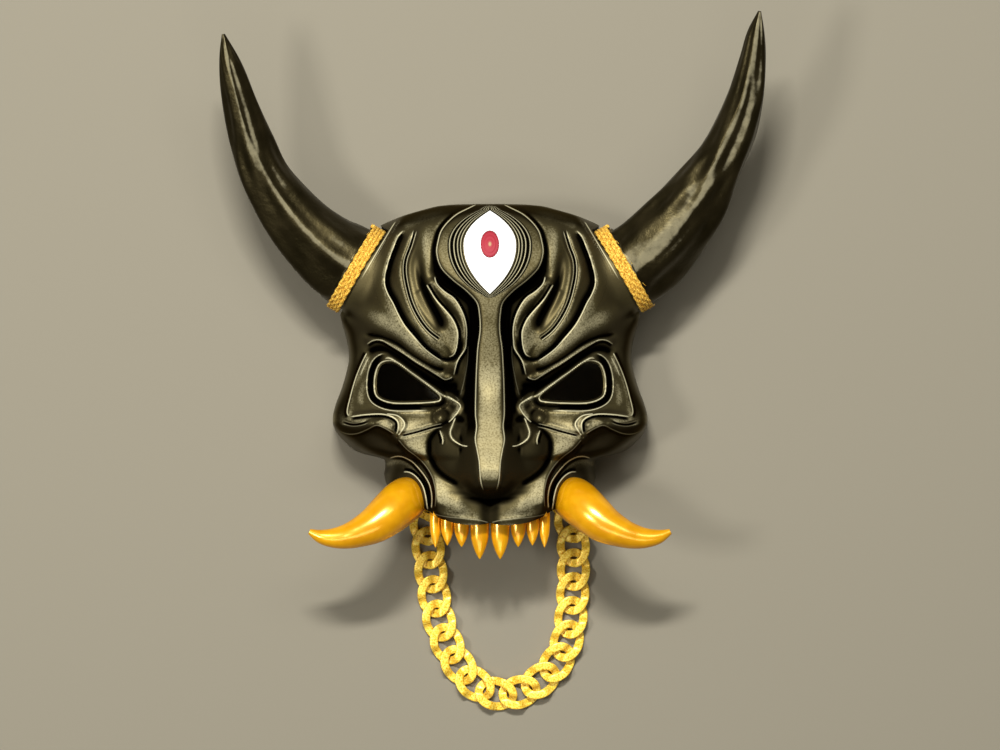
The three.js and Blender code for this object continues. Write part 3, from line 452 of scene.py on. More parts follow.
def shade_and_sheen_maps():
    """The painted shade of each place of the face, from how deep and how steep it lies, and its painted
    sheen, both from 0 to 1.
    """
    x, y = np.meshgrid(MAP_X, MAP_Y, indexing="ij")
    z = face_height(x, y)
    beside_strip = x - smooth(STRIP, y)
    in_wing = smoothstep(0, 2, -loop_distance(x, y, NOSE_WINGS, 3))
    # Painted sheen: lighter where the face is flat and stands above its surroundings, less on the nose wings,
    # beside the strip low on the forehead and along the curve kept dark
    painted_sheen = smoothstep(1.15, 0.2, fall(blur(z, 0.8))) * np.clip(0.55 + (z - blur(z, 8.0)) / 5, 0, 1)
    painted_sheen *= 1 - 0.85 * in_wing * smoothstep(0, 1.5, beside_strip)
    painted_sheen *= 1 - 0.4 * (smoothstep(12, 24, y) * smoothstep(2, -0.5, beside_strip))
    painted_sheen *= 1 - 0.75 * bump(to_curve(x, y, spline(KEPT_DARK))[0], 3.2)
    proud = np.zeros(z.shape)
    for points, level, reach in PAINTED_SHEEN_ALONG:
        fine = reach < FINE_REACH
        d, s, total = to_curve(x, y, spline(points))
        sheen_level = level * bump(d, reach) * fade(s, total, 5 if fine else 18, 5)
        painted_sheen = np.maximum(painted_sheen, sheen_level)
        if fine:
            proud = np.maximum(proud, sheen_level)
    # Painted shade: darker where the face lies below its blurred surroundings, on its steep sides and nose
    # wings, and along the grooves without lips, but less on the fine ridges with a painted highlight
    deep = np.clip((blur(z, 3.0) - z - 0.25) / 1.4, 0, 1)
    steep = smoothstep(0.9, 2.4, fall(blur(shell_height(x, y), 1.2)))
    deep = np.maximum(deep, np.maximum(0.62 * (in_wing * smoothstep(0, 2, beside_strip)), 0.88 * steep))
    for points, depth, half, lips, start, end in GROOVES.values():
        if not lips:
            d, s, total = to_curve(x, y, spline(points))
            cut = fade(s, total, start, end) * smoothstep(1.5, 0.7, np.abs(d) / half) * min(1, 3 / half)
            deep = np.maximum(deep, cut)
    return deep * (1 - 0.9 * proud), painted_sheen


PAINTED_SHADE, PAINTED_SHEEN = shade_and_sheen_maps()

# How bright the painted highlight line along each crest is, where it isn't full
LINE_LIGHT = {
    "cheek facet": 0, "facet beside the nose": 0, "lip ridge": 0, "edge beside the nose": 0.45,
    "lower brow": 0.7, "cheek's lower edge": 0.5, "third line": 0.35, "eye's second line": 0.7,
    "lip edge": 0.5,
}
# Crests measured apart from the others, so that the lines of two close ones both show
SECOND_SET = {
    "inner forehead fold", "tongue, far edge", "rim over the eye", "eye's second line", "cheek line",
    "mouth ring", "inner curl", "lip edge",
}
SHADE_REACH = 6.0  # how far from an edge its marks go
LINE_FADE = (2.4, 1.5)  # the distances over which a line's brightness goes from 0 to full
CRISP_REACH = 1.25  # a crest with a side shorter than this has painted shade beyond that side
NO_EDGE = 9.0  # the distance marked on the ring patches, which none of these edges cross


def nearest(x, y, curves):
    """Signed distance to the nearest of some curves, positive on its dark side, with its painted highlight
    and painted shade.
    """
    best = np.full(x.shape, SHADE_REACH)
    light = np.zeros(x.shape)
    dark = np.zeros(x.shape)
    for points, flip, start, end, bright, black in curves:
        curve = spline(points)
        near = np.flatnonzero(around(x, y, curve, SHADE_REACH))
        d, s, total = to_curve(x[near], y[near], curve)
        closer = np.abs(d) < np.abs(best[near])
        at, d, s = near[closer], d[closer], s[closer]
        ends = fade(s, total, start, end)
        best[at] = -d if flip else d
        light[at] = bright * ends * smoothstep(*LINE_FADE, np.abs(d))
        dark[at] = black * ends
    return best, light, dark


def crest_lines(second):
    """The crests of one set, as nearest() takes them."""
    lines = []
    for name, (points, height, left, right, taper, groove) in CRESTS.items():
        bright = LINE_LIGHT.get(name, 1)
        black = float(min(left, right) < CRISP_REACH and left != right)
        if bright and (name in SECOND_SET) == second:
            lines.append((points, left >= right, taper / 2, taper / 2, bright, black))
    return lines


def groove_lines():
    """The grooves with lips, as nearest() takes them."""
    return [(points, False, min(start, 4), end, 1.0 if name == "slit" else 0.5, 1.0)
            for name, (points, depth, half, lips, start, end) in GROOVES.items() if lips]


# Meshes
def grid(columns, rows):
    """A flat grid of points in bmesh, and each point's share of the way across and up."""
    bm = bmesh.new()
    bmesh.ops.create_grid(bm, x_segments=columns, y_segments=rows, size=0.5)
    at = np.array([v.co for v in bm.verts])
    return bm, at[:, 0] + 0.5, at[:, 1] + 0.5


def move(bm, x, y, z):
    """Moves a bmesh's points to new places."""
    for v, p in zip(bm.verts, np.stack([x, y, z], 1)):
        v.co = p


def close_below(bm, depth):
    """Gives a sheet straight sides and a flat bottom at a depth."""
    rim = [e for e in bm.edges if e.is_boundary]
    sides = bmesh.ops.extrude_edge_only(bm, edges=rim)["geom"]
    under = [e for e in sides if isinstance(e, bmesh.types.BMEdge) and e.is_boundary]
    for v in {v for e in under for v in e.verts}:
        v.co.z = depth
    bmesh.ops.holes_fill(bm, edges=under, sides=0)
    bmesh.ops.recalc_face_normals(bm, faces=bm.faces)
    return bm


def raise_new(bm, made, height):
    """Lifts the points that an extrusion made."""
    bmesh.ops.translate(bm, vec=(0, 0, height), verts=[g for g in made if isinstance(g, bmesh.types.BMVert)])
    bmesh.ops.recalc_face_normals(bm, faces=bm.faces)
    return bm


def tube(columns, rows, points_at, caps=True):
    """A grid rolled into a tube: points_at gives its points from the shares round and along."""
    bm, u, v = grid(columns, rows)
    move(bm, *points_at(u, v).T)
    bmesh.ops.remove_doubles(bm, verts=bm.verts, dist=1e-4)
    if caps:
        bmesh.ops.holes_fill(bm, edges=[e for e in bm.edges if e.is_boundary], sides=0)
    bmesh.ops.recalc_face_normals(bm, faces=bm.faces)
    return bm


def block(x0, x1, y0, y1, z0, z1):
    """A box between two places on each axis."""
    bm = bmesh.new()
    bmesh.ops.create_cube(bm, size=1)
    bmesh.ops.scale(bm, vec=(x1 - x0, y1 - y0, z1 - z0), verts=bm.verts)
    bmesh.ops.translate(bm, vec=((x0 + x1) / 2, (y0 + y1) / 2, (z0 + z1) / 2), verts=bm.verts)
    return bm


def prism(outline, z0, z1):
    """A straight prism over a closed outline."""
    bm = bmesh.new()
    face = bm.faces.new([bm.verts.new((x, y, z0)) for x, y in outline])
    return raise_new(bm, bmesh.ops.extrude_face_region(bm, geom=[face])["geom"], z1 - z0)


def on_side(side, bm):
    """A part that is modelled on the right, mirrored where it belongs on the left."""
    if side == "left":
        bmesh.ops.scale(bm, vec=(-1, 1, 1), verts=bm.verts)
        bmesh.ops.reverse_faces(bm, faces=bm.faces)
    return bm


def merged(*parts):
    """One bmesh out of several, which are freed."""
    whole = bmesh.new()
    mesh = bpy.data.meshes.new("part")
    for bm in parts:
        bm.to_mesh(mesh)
        whole.from_mesh(mesh)
        bm.free()
    bpy.data.meshes.remove(mesh)
    return whole


def body(name, *parts):
    """One object in the face's millimetres from one or more bmeshes, which are freed."""
    whole = merged(*parts)
    mesh = bpy.data.meshes.new(name)
    whole.to_mesh(mesh)
    whole.free()
    piece = bpy.data.objects.new(name, mesh)
    bpy.context.scene.collection.objects.link(piece)
    return piece


def combine(piece, steps):
    """Cuts, joins or keeps parts of a piece with other bodies, which are removed."""
    for operation, tool in steps:
        step = piece.modifiers.new(operation, "BOOLEAN")
        step.operation = operation
        step.solver = "MANIFOLD"
        step.object = tool
        bpy.context.view_layer.update()
        made = bpy.data.meshes.new_from_object(piece.evaluated_get(bpy.context.evaluated_depsgraph_get()))
        piece.modifiers.clear()
        piece.data = made
        bpy.data.objects.remove(tool)


def place(piece, replaced, material, crease=60):
    """Moves a piece from the face's millimetres to the frame's metres, hangs it on the root body and hides
    the imported part that it stands for.
    """
    piece.data.transform(Matrix.Scale(MM, 4) @ Matrix.Translation(Vector(SHIFT)))
    piece.data.materials.clear()
    piece.data.materials.append(material)
    piece.data.shade_smooth()
    piece.data.set_sharp_from_angle(angle=math.radians(crease))
    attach(piece, "root")
    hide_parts(replaced)


def points_of(piece):
    """The places of a piece's points, one row each."""
    at = np.empty(3 * len(piece.data.vertices))
    piece.data.vertices.foreach_get("co", at)
    return at.reshape(-1, 3)


def mark(piece, name, *values):
    """Gives each point of a piece one value, or three as a vector, that its paint reads."""
    kind, field = ("FLOAT", "value") if len(values) == 1 else ("FLOAT_VECTOR", "vector")
    packed = np.stack([np.asarray(v, np.float32) for v in values], 1)
    piece.data.attributes.new(name, kind, "POINT").data.foreach_set(field, packed.ravel())


# Materials
def colour(value):
    """The linear colour of an sRGB hex value."""
    parts = [int(value[i:i + 2], 16) / 255 for i in (1, 3, 5)]
    return tuple(c / 12.92 if c <= 0.04045 else ((c + 0.055) / 1.055) ** 2.4 for c in parts) + (1.0,)


def add(tree, kind, inputs=None, read=0, stops=(), **settings):
    """Adds one node and gives one output. Inputs are values or sockets to link, stops a ramp's colours."""
    made = tree.nodes.new(kind)
    for name, value in settings.items():
        setattr(made, name, value)
    for name, value in (inputs or {}).items():
        if isinstance(value, bpy.types.NodeSocket):
            tree.links.new(value, made.inputs[name])
        else:
            made.inputs[name].default_value = value
    for number, (at, value) in enumerate(stops):
        elements = made.color_ramp.elements
        element = elements[number] if number < 2 else elements.new(at)
        element.position, element.color = at, colour(value)
    return made.outputs[read]


def material(name):
    """A new material, its node tree, and the place on the object that its patterns read."""
    made = bpy.data.materials.new(name)
    made.use_nodes = True
    made.node_tree.nodes.clear()
    return made, made.node_tree, add(made.node_tree, "ShaderNodeTexCoord", read="Object")


def finish_material(tree, inputs):
    """Ends a material's nodes with its shader."""
    surface = add(tree, "ShaderNodeBsdfPrincipled", inputs)
    tree.links.new(surface, tree.nodes.new("ShaderNodeOutputMaterial").inputs["Surface"])


def per_mm(size):
    """The scale of a noise whose grains are size millimetres across, on coordinates in metres."""
    return 1 / (size * MM)


def ease(tree, value, start, end):
    """A soft step of a value, from 0 at start to 1 at end."""
    return add(tree, "ShaderNodeMapRange", {"Value": value, "From Min": start, "From Max": end},
               interpolation_type="SMOOTHSTEP")


def join_values(tree, operation, first, *others):
    """Joins values one after another by one kind of sum."""
    for other in others:
        first = add(tree, "ShaderNodeMath", {0: first, 1: other}, operation=operation)
    return first


def read_marks(tree, name):
    """The three values of a mark: distance from an edge, how bright its painted highlight line is and how
    dark the painted shade on its far side.
    """
    marked = add(tree, "ShaderNodeAttribute", read="Vector", attribute_name=name)
    return add(tree, "ShaderNodeSeparateXYZ", {"Vector": marked}).node.outputs


def painted_highlight_line(tree, marks, half, away=0.0):
    """The pale painted highlight line along an edge, or on both sides at a distance from it."""
    d = add(tree, "ShaderNodeMath", {0: marks["X"]}, operation="ABSOLUTE")
    if away:
        d = add(tree, "ShaderNodeMath", {0: join_values(tree, "SUBTRACT", d, away)}, operation="ABSOLUTE")
    return join_values(tree, "MULTIPLY", ease(tree, d, half + 0.18, half - 0.12), marks["Y"])


def edge_shade(tree, marks, start, end, both_sides=False):
    """The painted shade beside an edge: it comes in over the distances start and goes out over the distances
    end.
    """
    d = add(tree, "ShaderNodeMath", {0: marks["X"]}, operation="ABSOLUTE") if both_sides else marks["X"]
    return join_values(tree, "MULTIPLY", ease(tree, d, *start), ease(tree, d, *end), marks["Z"])


PAINT_CLOUD = {"Scale": per_mm(14), "Detail": 3.0}
PAINT_GRAIN = {"Scale": per_mm(0.9), "Detail": 2.0}
PAINT_RELIEF = {"Strength": 0.12, "Distance": 0.1 * MM}
BLACK_TINT = colour("#ecd694")  # the warm cast of the black paint's reflections


def satin_black():
    """Satin black paint on cast resin: soft reflections, a painted sheen on broad places and painted
    highlight lines along the edges, and painted shade, dull black, in the grooves and hollows.
    """
    made, tree, at = material("satin_black_paint")
    cloud = add(tree, "ShaderNodeTexNoise", {"Vector": at, **PAINT_CLOUD})
    grain = add(tree, "ShaderNodeTexNoise", {"Vector": at, **PAINT_GRAIN})
    painted_sheen, deep, rings = [add(tree, "ShaderNodeAttribute", read="Fac", attribute_name=name)
                           for name in ("painted_sheen", "deep", "rings")]
    # Painted sheen, broken by two noises, takes the black from its darkest to a pale olive
    sheen_level = join_values(tree, "MULTIPLY", painted_sheen, ease(tree, cloud, -0.4, 0.6), ease(tree, grain, -0.1, 0.72))
    paint = add(tree, "ShaderNodeValToRGB", {"Fac": sheen_level},
                stops=[(0.0, "#100d06"), (0.35, "#2a2615"), (0.9, "#827b5f")])
    first, second, grooves, rims = [read_marks(tree, name)
                                    for name in ("first_edges", "second_edges", "grooves", "eye_rims")]
    beyond = (0.15, 0.6), (3.0, 1.5)
    # Painted shade: black beyond the crisp edges, in the grooves, under the eye's rims and in the deep places
    shade = join_values(
        tree, "MAXIMUM", edge_shade(tree, first, *beyond), edge_shade(tree, second, *beyond),
        edge_shade(tree, grooves, (-1, -0.5), (0.7, 0.4), True),
        edge_shade(tree, rims, (1.7, 2.1), (5.2, 4.7), True), deep)
    # Painted highlight lines: along the edges, the grooves' lips, both sides of the eye's rims, the outer rim
    # under the eye and the third eye's rings
    outer_rim = join_values(tree, "MULTIPLY", painted_highlight_line(tree, rims, 0.26, 5.5), rims["Z"], 0.8)
    lines = join_values(
        tree, "MAXIMUM", painted_highlight_line(tree, first, 0.28), painted_highlight_line(tree, second, 0.28),
        painted_highlight_line(tree, grooves, 0.2, 0.9), painted_highlight_line(tree, rims, 0.28, 1.3), outer_rim, rings)
    light = ease(tree, lines, 0.15, 1.0)
    # Painted shade in near black, then the painted highlight lines in pale olive
    for share, tone in ((shade, "#030201"), (light, "#a8a283")):
        paint = add(tree, "ShaderNodeMix", {"Factor": share, "A": paint, "B": colour(tone)}, "Result",
                    data_type="RGBA")
    matt = join_values(tree, "MULTIPLY", shade, 0.3)
    rough = add(tree, "ShaderNodeMath", {0: ease(tree, cloud, -2.0, 3.0), 1: matt}, operation="ADD",
                use_clamp=True)
    finish_material(tree, {
        "Base Color": paint, "Roughness": rough,
        # A black metal where there is painted shade, so that it reflects nothing there either
        "Metallic": join_values(tree, "MULTIPLY", shade, join_values(tree, "SUBTRACT", 1.0, light)),
        "Normal": add(tree, "ShaderNodeBump", {"Height": grain, **PAINT_RELIEF}),
        "Specular IOR Level": 0.85, "Specular Tint": BLACK_TINT,
    })
    return made


def horn_black():
    """The same black paint on the uneven horns, dull, with a painted highlight in broken patches where they
    face up.
    """
    made, tree, at = material("horn_black_paint")
    cloud = add(tree, "ShaderNodeTexNoise", {"Vector": at, **PAINT_CLOUD})
    grain = add(tree, "ShaderNodeTexNoise", {"Vector": at, **PAINT_GRAIN})
    broken = add(tree, "ShaderNodeTexNoise", {
        "Vector": at, "Scale": per_mm(5), "Detail": 5.0, "Roughness": 0.65})
    uneven = add(tree, "ShaderNodeTexNoise", {
        "Vector": at, "Scale": per_mm(6.5), "Detail": 4.0, "Roughness": 0.55})
    # Painted highlight where the horn faces up, broken by noise, from near black to a pale olive
    front = add(tree, "ShaderNodeAttribute", read="Fac", attribute_name="painted_sheen")
    ragged = join_values(tree, "MULTIPLY", join_values(tree, "SUBTRACT", broken, 0.5), 1.3)
    sheen_level = ease(tree, join_values(tree, "ADD", front, ragged), 0.3, 1.1)
    paint = add(tree, "ShaderNodeValToRGB", {"Fac": cloud}, stops=[(0.3, "#080602"), (0.7, "#120e06")])
    paint = add(tree, "ShaderNodeMix", {"Factor": sheen_level, "A": paint, "B": colour("#6a644f")}, "Result",
                data_type="RGBA")
    fine = add(tree, "ShaderNodeBump", {"Height": grain, **PAINT_RELIEF})
    relief = add(tree, "ShaderNodeBump", {
        "Height": uneven, "Strength": 0.4, "Distance": 1.0 * MM, "Normal": fine})
    finish_material(tree, {
        "Base Color": paint, "Roughness": ease(tree, cloud, -2.2, 4.6), "Normal": relief,
        "Specular IOR Level": 0.4, "Specular Tint": BLACK_TINT,
    })
    return made


def mottled(name, noise, stops, relief, finish, fine=None):
    """A finish whose colour and fine relief follow one noise, or the relief a finer one."""
    made, tree, at = material(name)
    cloud = add(tree, "ShaderNodeTexNoise", {"Vector": at, **noise})
    grain = add(tree, "ShaderNodeTexNoise", {"Vector": at, **fine}) if fine else cloud
    finish_material(tree, {
        "Base Color": add(tree, "ShaderNodeValToRGB", {"Fac": cloud}, stops=stops),
        "Normal": add(tree, "ShaderNodeBump", {"Height": grain, **relief}), **finish,
    })
    return made


def satin_gold():
    """Gold paint on resin: a warm orange yellow with a long soft highlight."""
    return mottled("satin_gold_paint", {"Scale": per_mm(9), "Detail": 2.0},
                   [(0.35, "#d89404"), (0.65, "#eaa60c")], {"Strength": 0.08, "Distance": 0.1 * MM},
                   {"Roughness": 0.24, "Metallic": 0.35, "Specular IOR Level": 0.8},
                   {"Scale": per_mm(1.1), "Detail": 2.0})


def washed_gold():
    """Gold-washed cast metal, mottled with darker orange brown where the wash is thin."""
    return mottled("gold_washed_metal", {"Scale": per_mm(0.9), "Detail": 4.0},
                   [(0.3, "#a87208"), (0.44, "#f2bf2c"), (0.72, "#ffec74")],
                   {"Strength": 0.2, "Distance": 0.2 * MM}, {"Roughness": 0.36, "Metallic": 0.25})


def matt_white():
    """Matt white paint, brushed on over the resin."""
    return mottled("matt_white_paint", {"Scale": per_mm(1.4), "Detail": 3.0},
                   [(0.3, "#f4f3ea"), (0.7, "#fffffb")], {"Strength": 0.1, "Distance": 0.1 * MM},
                   {"Roughness": 0.6})


def jute():
    """Golden jute twine: dull twisted fibres; one noise gives both its tone and its bump, so it is lighter on
    the raised fibres, a painted highlight over its own mottled tone.
    """
    return mottled("jute_twine", {"Scale": per_mm(0.8), "Detail": 4.0, "Roughness": 0.7},
                   [(0.36, "#7c4a06"), (0.5, "#c4901e"), (0.64, "#ecce60")],
                   {"Strength": 0.3, "Distance": 0.2 * MM}, {"Roughness": 0.85})


def matt_red():
    """Matt red paint with a small tan spot on its raised centre and a little darker at its rim."""
    made, tree, at = material("matt_red_paint")
    centre = tuple((PUPIL_AT + SHIFT) * MM)
    shares = (1 / (PUPIL_HALF * MM), 1 / (PUPIL_UP * MM), 0)
    centred = add(tree, "ShaderNodeVectorMath", {0: at, 1: centre}, operation="SUBTRACT")
    scaled = add(tree, "ShaderNodeVectorMath", {0: centred, 1: shares}, operation="MULTIPLY")
    far = add(tree, "ShaderNodeVectorMath", {0: scaled}, "Value", operation="LENGTH")
    paint = add(tree, "ShaderNodeValToRGB", {"Fac": far}, stops=[
        (0.1, "#a08058"), (0.2, "#8c2a30"), (0.28, "#921826"), (0.93, "#8c1424"), (1.0, "#760c1a")])
    finish_material(tree, {"Base Color": paint, "Roughness": 0.7})
    return made


# The face
SHELL_COLUMNS = 280
SHELL_ROWS = 270
# The fine ridges beside the third eye: where they start and end up the face, and how far from its white
RING_LOW = 55.7
RING_HIGH = 106.6
RING_LINES = (1.7, 3.4, 5.4, 7.8)
RING_START = 0.35
RING_WIDTH = 9.2
RING_HALF = 0.33
# Walls and cuts round the horns' collars
COLLAR_BACK = -0.6
COLLAR_WALL_HALF = 31.0
COLLAR_CUT_HALF = 27.4
EYE_SUNK = 1.2  # how deep the third eye's white sits
PUPIL_SUNK = 0.9
CHIN_CUT_Y = -36.0  # where the slanting cut behind the chin meets the ground


def face_block(columns, rows):
    """The outer surface of the face, closed below."""
    bm, u, v = grid(columns, rows)
    q = 2 * u - 1
    y = np.interp(v, [0, 0.06, 0.97, 1], [LIP_END, -60, 103.5, CROWN_Y])
    share = np.interp(np.abs(q), [0, 0.80, 0.915, 1], [0, 0.71, 0.9, 1])
    outer = np.clip((share - 0.9) / 0.1, 0, 1)
    share = np.where(outer > 0, 0.9 + 0.1 * np.sin(outer * np.pi / 2) ** 1.3, share)
    x = np.sign(q) * share * smooth(HALF_WIDTH, y)
    z = np.where(share >= 1 - 1e-6, 0, shell_height(x * 0.99999, y))
    move(bm, x, y, np.maximum(z, 0))
    return close_below(bm, -6)


def cavity_block(columns, rows, wall):
    """The hollow behind the face: the outer surface moved inwards by a ball of the wall's radius."""
    step = 1.0
    xs = np.arange(-96, 97, step)
    ys = np.arange(LIP_END - 8, CROWN_Y + 8, step)
    gx, gy = np.meshgrid(xs, ys, indexing="ij")
    gone = (gy > CROWN_Y) | (np.abs(gx) > smooth(HALF_WIDTH, gy))
    outer = np.where(gone, 0, shell_height(gx, gy))
    inner = outer - wall
    reach = int(wall / step)
    for i in range(-reach, reach + 1):
        for j in range(-reach, reach + 1):
            left = wall**2 - (i * step) ** 2 - (j * step) ** 2
            if left >= 0:
                inner = np.minimum(inner, np.roll(outer, (i, j), (0, 1)) - math.sqrt(left))
    bm, u, v = grid(columns, rows)
    y = LIP_END - 1 + v * (CROWN_Y - wall - LIP_END + 1)
    d = np.linspace(-wall, wall, 13)[:, None]
    there = np.where(y + d > CROWN_Y, 0, smooth(HALF_WIDTH, y + d))
    half = np.min(there - np.sqrt(np.clip(wall**2 - d**2, 0, None)), 0)
    q = np.sin((2 * u - 1) * np.pi / 2)
    x = np.clip(half, 1, None) * (0.35 * (2 * u - 1) + 0.65 * q)
    move(bm, x, y, np.maximum(look_up(inner, xs[0], ys[0], step, x, y), -8))
    return close_below(bm, -12)


def collar_block(s0, s1, half):
    """A block set square to a horn's axis."""
    bm = block(s0, s1, -half, half, -5, 110)
    turn = Matrix(((OUTWARD[0], ACROSS[0], 0), (OUTWARD[1], ACROSS[1], 0), (0, 0, 1)))
    bmesh.ops.rotate(bm, matrix=turn, verts=bm.verts)
    bmesh.ops.translate(bm, vec=(COLLAR_AT[0], COLLAR_AT[1], 0), verts=bm.verts)
    return bm


def collar_stub():
    """The short oval stub that a horn stands on."""
    def points(u, v):
        turn = (2 * np.pi * u)[:, None]
        s = (-3 + v * (3 + COLLAR_CUT))[:, None]
        oval = COLLAR_RADIUS * np.cos(turn) * ACROSS + COLLAR_DEPTH * np.sin(turn) * UP
        return COLLAR_AT + s * OUTWARD + oval
    return tube(64, 4, points)


def ground(y):
    """The height of the middle of the strip, where the third eye is let in."""
    return (smooth(CENTRE, y) + smooth(NOSE, y) + STRIP_BEVEL * bevel(y)) * crown(y)


def lens(columns, rows, half_at, y0, y1, top_at, bottom_at):
    """A closed pad over an oval, from its half widths, its top and its bottom."""
    sheets = []
    for height_at in (top_at, bottom_at):
        bm, u, v = grid(columns, rows)
        y = y0 + (y1 - y0) * (0.5 - 0.5 * np.cos(np.pi * v))
        half = np.maximum(0.2, half_at(y))
        x = half * np.sin(np.pi * (u - 0.5))
        move(bm, x, y, height_at(x, y, x / half))
        sheets.append(bm)
    bm = merged(*sheets)
    bmesh.ops.bridge_loops(bm, edges=[e for e in bm.edges if e.is_boundary])
    bmesh.ops.recalc_face_normals(bm, faces=bm.faces)
    return bm


def almond_top(y, q=0.0):
    """The domed white of the third eye, at a share q of its half width."""
    v = (y - EYE_Y) / np.where(y > EYE_Y, EYE_UP, EYE_DOWN)
    return ground(y) + 0.5 + 2 * np.clip(1 - v**2, 0, 1) * np.sqrt(np.clip(1 - q**2 * 0.98, 0, 1))


def almond_lens(columns, rows, grow, raise_by, deep):
    """The third eye's white, or the pocket that it sits in, which is grown all round."""
    return lens(columns, rows, lambda y: almond_half(y, grow), EYE_Y - EYE_DOWN - TIP_GROWTH * grow,
                EYE_Y + EYE_UP + TIP_GROWTH * grow,
                lambda x, y, q: almond_top(y, q) + raise_by, lambda x, y, q: ground(y) - deep)


def pupil_half(y, grow=0.0):
    """Half width of the pupil at a height up the face."""
    return (PUPIL_HALF + grow) * np.sqrt(np.clip(1 - ((y - PUPIL_AT[1]) / (PUPIL_UP + grow)) ** 2, 0, 1))


def pupil_top(x, y, q):
    """A low dome with ring-shaped steps and a small raised centre."""
    far = np.hypot(x / PUPIL_HALF, (y - PUPIL_AT[1]) / PUPIL_UP)
    dome = 0.3 + 0.9 * np.clip(1 - far**2, 0, 1)
    rings = 0.1 * np.cos(2 * np.pi * far * 3.5)
    return almond_top(y) + dome + rings


def pupil_lens(columns, rows, grow, top_at, deep):
    """The third eye's red, or the pocket that it sits in."""
    return lens(columns, rows, lambda y: pupil_half(y, grow), PUPIL_AT[1] - PUPIL_UP - grow,
                PUPIL_AT[1] + PUPIL_UP + grow, top_at, lambda x, y, q: almond_top(y) - deep)


def ring_lines(out):
    """Height of the ridges beside the third eye at a distance from its white, from 0 to 1."""
    return sum(bump(out - line, RING_HALF) for line in RING_LINES)


def ring_spread(y, least=0.0):
    """How far apart the lines beside the third eye run, closing up towards their ends."""
    end = np.where(y > EYE_Y, RING_HIGH - EYE_Y, EYE_Y - RING_LOW)
    return np.sqrt(np.clip(1 - (np.abs(y - EYE_Y) / end) ** 5, least, 1))


def ring_patch(columns, rows):
    """The fine ridges that run down one side of the third eye, on the strip beside its white."""
    bm, u, v = grid(columns, rows)
    y = RING_LOW + (RING_HIGH - RING_LOW) * (0.5 - 0.5 * np.cos(np.pi * v))
    spread = ring_spread(y)
    out = RING_START + RING_WIDTH * u
    x = almond_half(y, RING_START) + (out - RING_START) * spread
    move(bm, x, y, shell_height(x, y) + 0.06 + 0.75 * ring_lines(out) * np.clip(spread, 0.25, 1))
    return raise_new(bm, bmesh.ops.extrude_face_region(bm, geom=bm.faces[:])["geom"], -0.6)


def paint_marks(piece, first_ring):
    """Marks the face's crisp edges for painted highlight lines and the painted shade beside them, its deep
    places for painted shade and its painted sheen, and the ring patches from a point on.
    """
    at = points_of(piece)
    x, y, z = at.T
    x = np.abs(x)
    ring = np.arange(len(at)) >= first_ring
    out_along, out_across = from_collar(x, y)
    to_collar = out_along + 1.5
    outside = (np.abs(z - shell_height(x, y)) < 1.6) & (z > 12) & (x < smooth(HALF_WIDTH, y))
    clear = (outside * smoothstep(26, 38, z) * smoothstep(CROWN_Y - 0.3, CROWN_Y - 2, y)
             * smoothstep(-1, -5, out_along))
    beside_strip = -inside_strip(x, y)
    # Painted highlight lines along the strip's edges and round the collars' rims
    strip_light = smoothstep(*LINE_FADE, np.abs(beside_strip)) * smoothstep(-51, -44, y) * clear
    collar_light = 0.8 * smoothstep(-8, 4, out_across) * smoothstep(36, 44, z)
    # The crests' painted highlight lines and the painted shade beyond their crisp sides
    for name, second in (("first_edges", False), ("second_edges", True)):
        d, light, dark = nearest(x, y, crest_lines(second))
        light, dark = light * clear, dark * clear
        if not second:
            strip = np.abs(beside_strip) < np.abs(d)
            d, light, dark = np.where(strip, (beside_strip, strip_light, 0 * d), (d, light, dark))
            rim = np.abs(to_collar) < 2
            d, light, dark = np.where(rim, (to_collar, collar_light, 0 * d), (d, light, dark))
        mark(piece, name, np.where(ring, NO_EDGE, d), light, dark)
    # The grooves' lips get painted highlight lines, their middles painted shade
    d, light, dark = nearest(x, y, groove_lines())
    mark(piece, "grooves", np.where(ring, NO_EDGE, d), light * clear, dark * clear)
    # The eye holes' rims: painted highlight lines, and painted shade under the eye
    d = loop_distance(x, y, EYE_HOLE, EYE_REACH)
    below = lower_lid(x, y, smoothstep(31, 39, x))
    mark(piece, "eye_rims", np.where(ring, EYE_REACH, d), (d < 7) * clear, (d < 8) * below * clear)
    # Painted highlight on the ridges beside the third eye, and painted shade in the gaps between them
    out = RING_START + (x - almond_half(y, RING_START)) / ring_spread(y, 1e-3)
    mark(piece, "rings", np.where(ring, np.clip(ring_lines(out), 0, 1), 0))
    gaps = (smoothstep(0.4, 0.9, out) * smoothstep(RING_WIDTH, RING_WIDTH - 0.6, out)
            * (1 - np.clip(1.4 * ring_lines(out), 0, 1)))
    # Painted shade in the valley beside the strip and in the deep places
    valley = (smoothstep(0.2, 0.9, beside_strip)
              * smoothstep(*LINE_FADE, beside_strip / smooth(VALLEY_REACH, y)) * smoothstep(-30, -14, y))
    mark(piece, "deep", np.where(ring, gaps, np.maximum(on_face(PAINTED_SHADE, x, y), valley) * clear))
    # Painted sheen on the outside of the face, and a little of it elsewhere
    mark(piece, "painted_sheen", np.where(outside, on_face(PAINTED_SHEEN, x, y), 0.2))


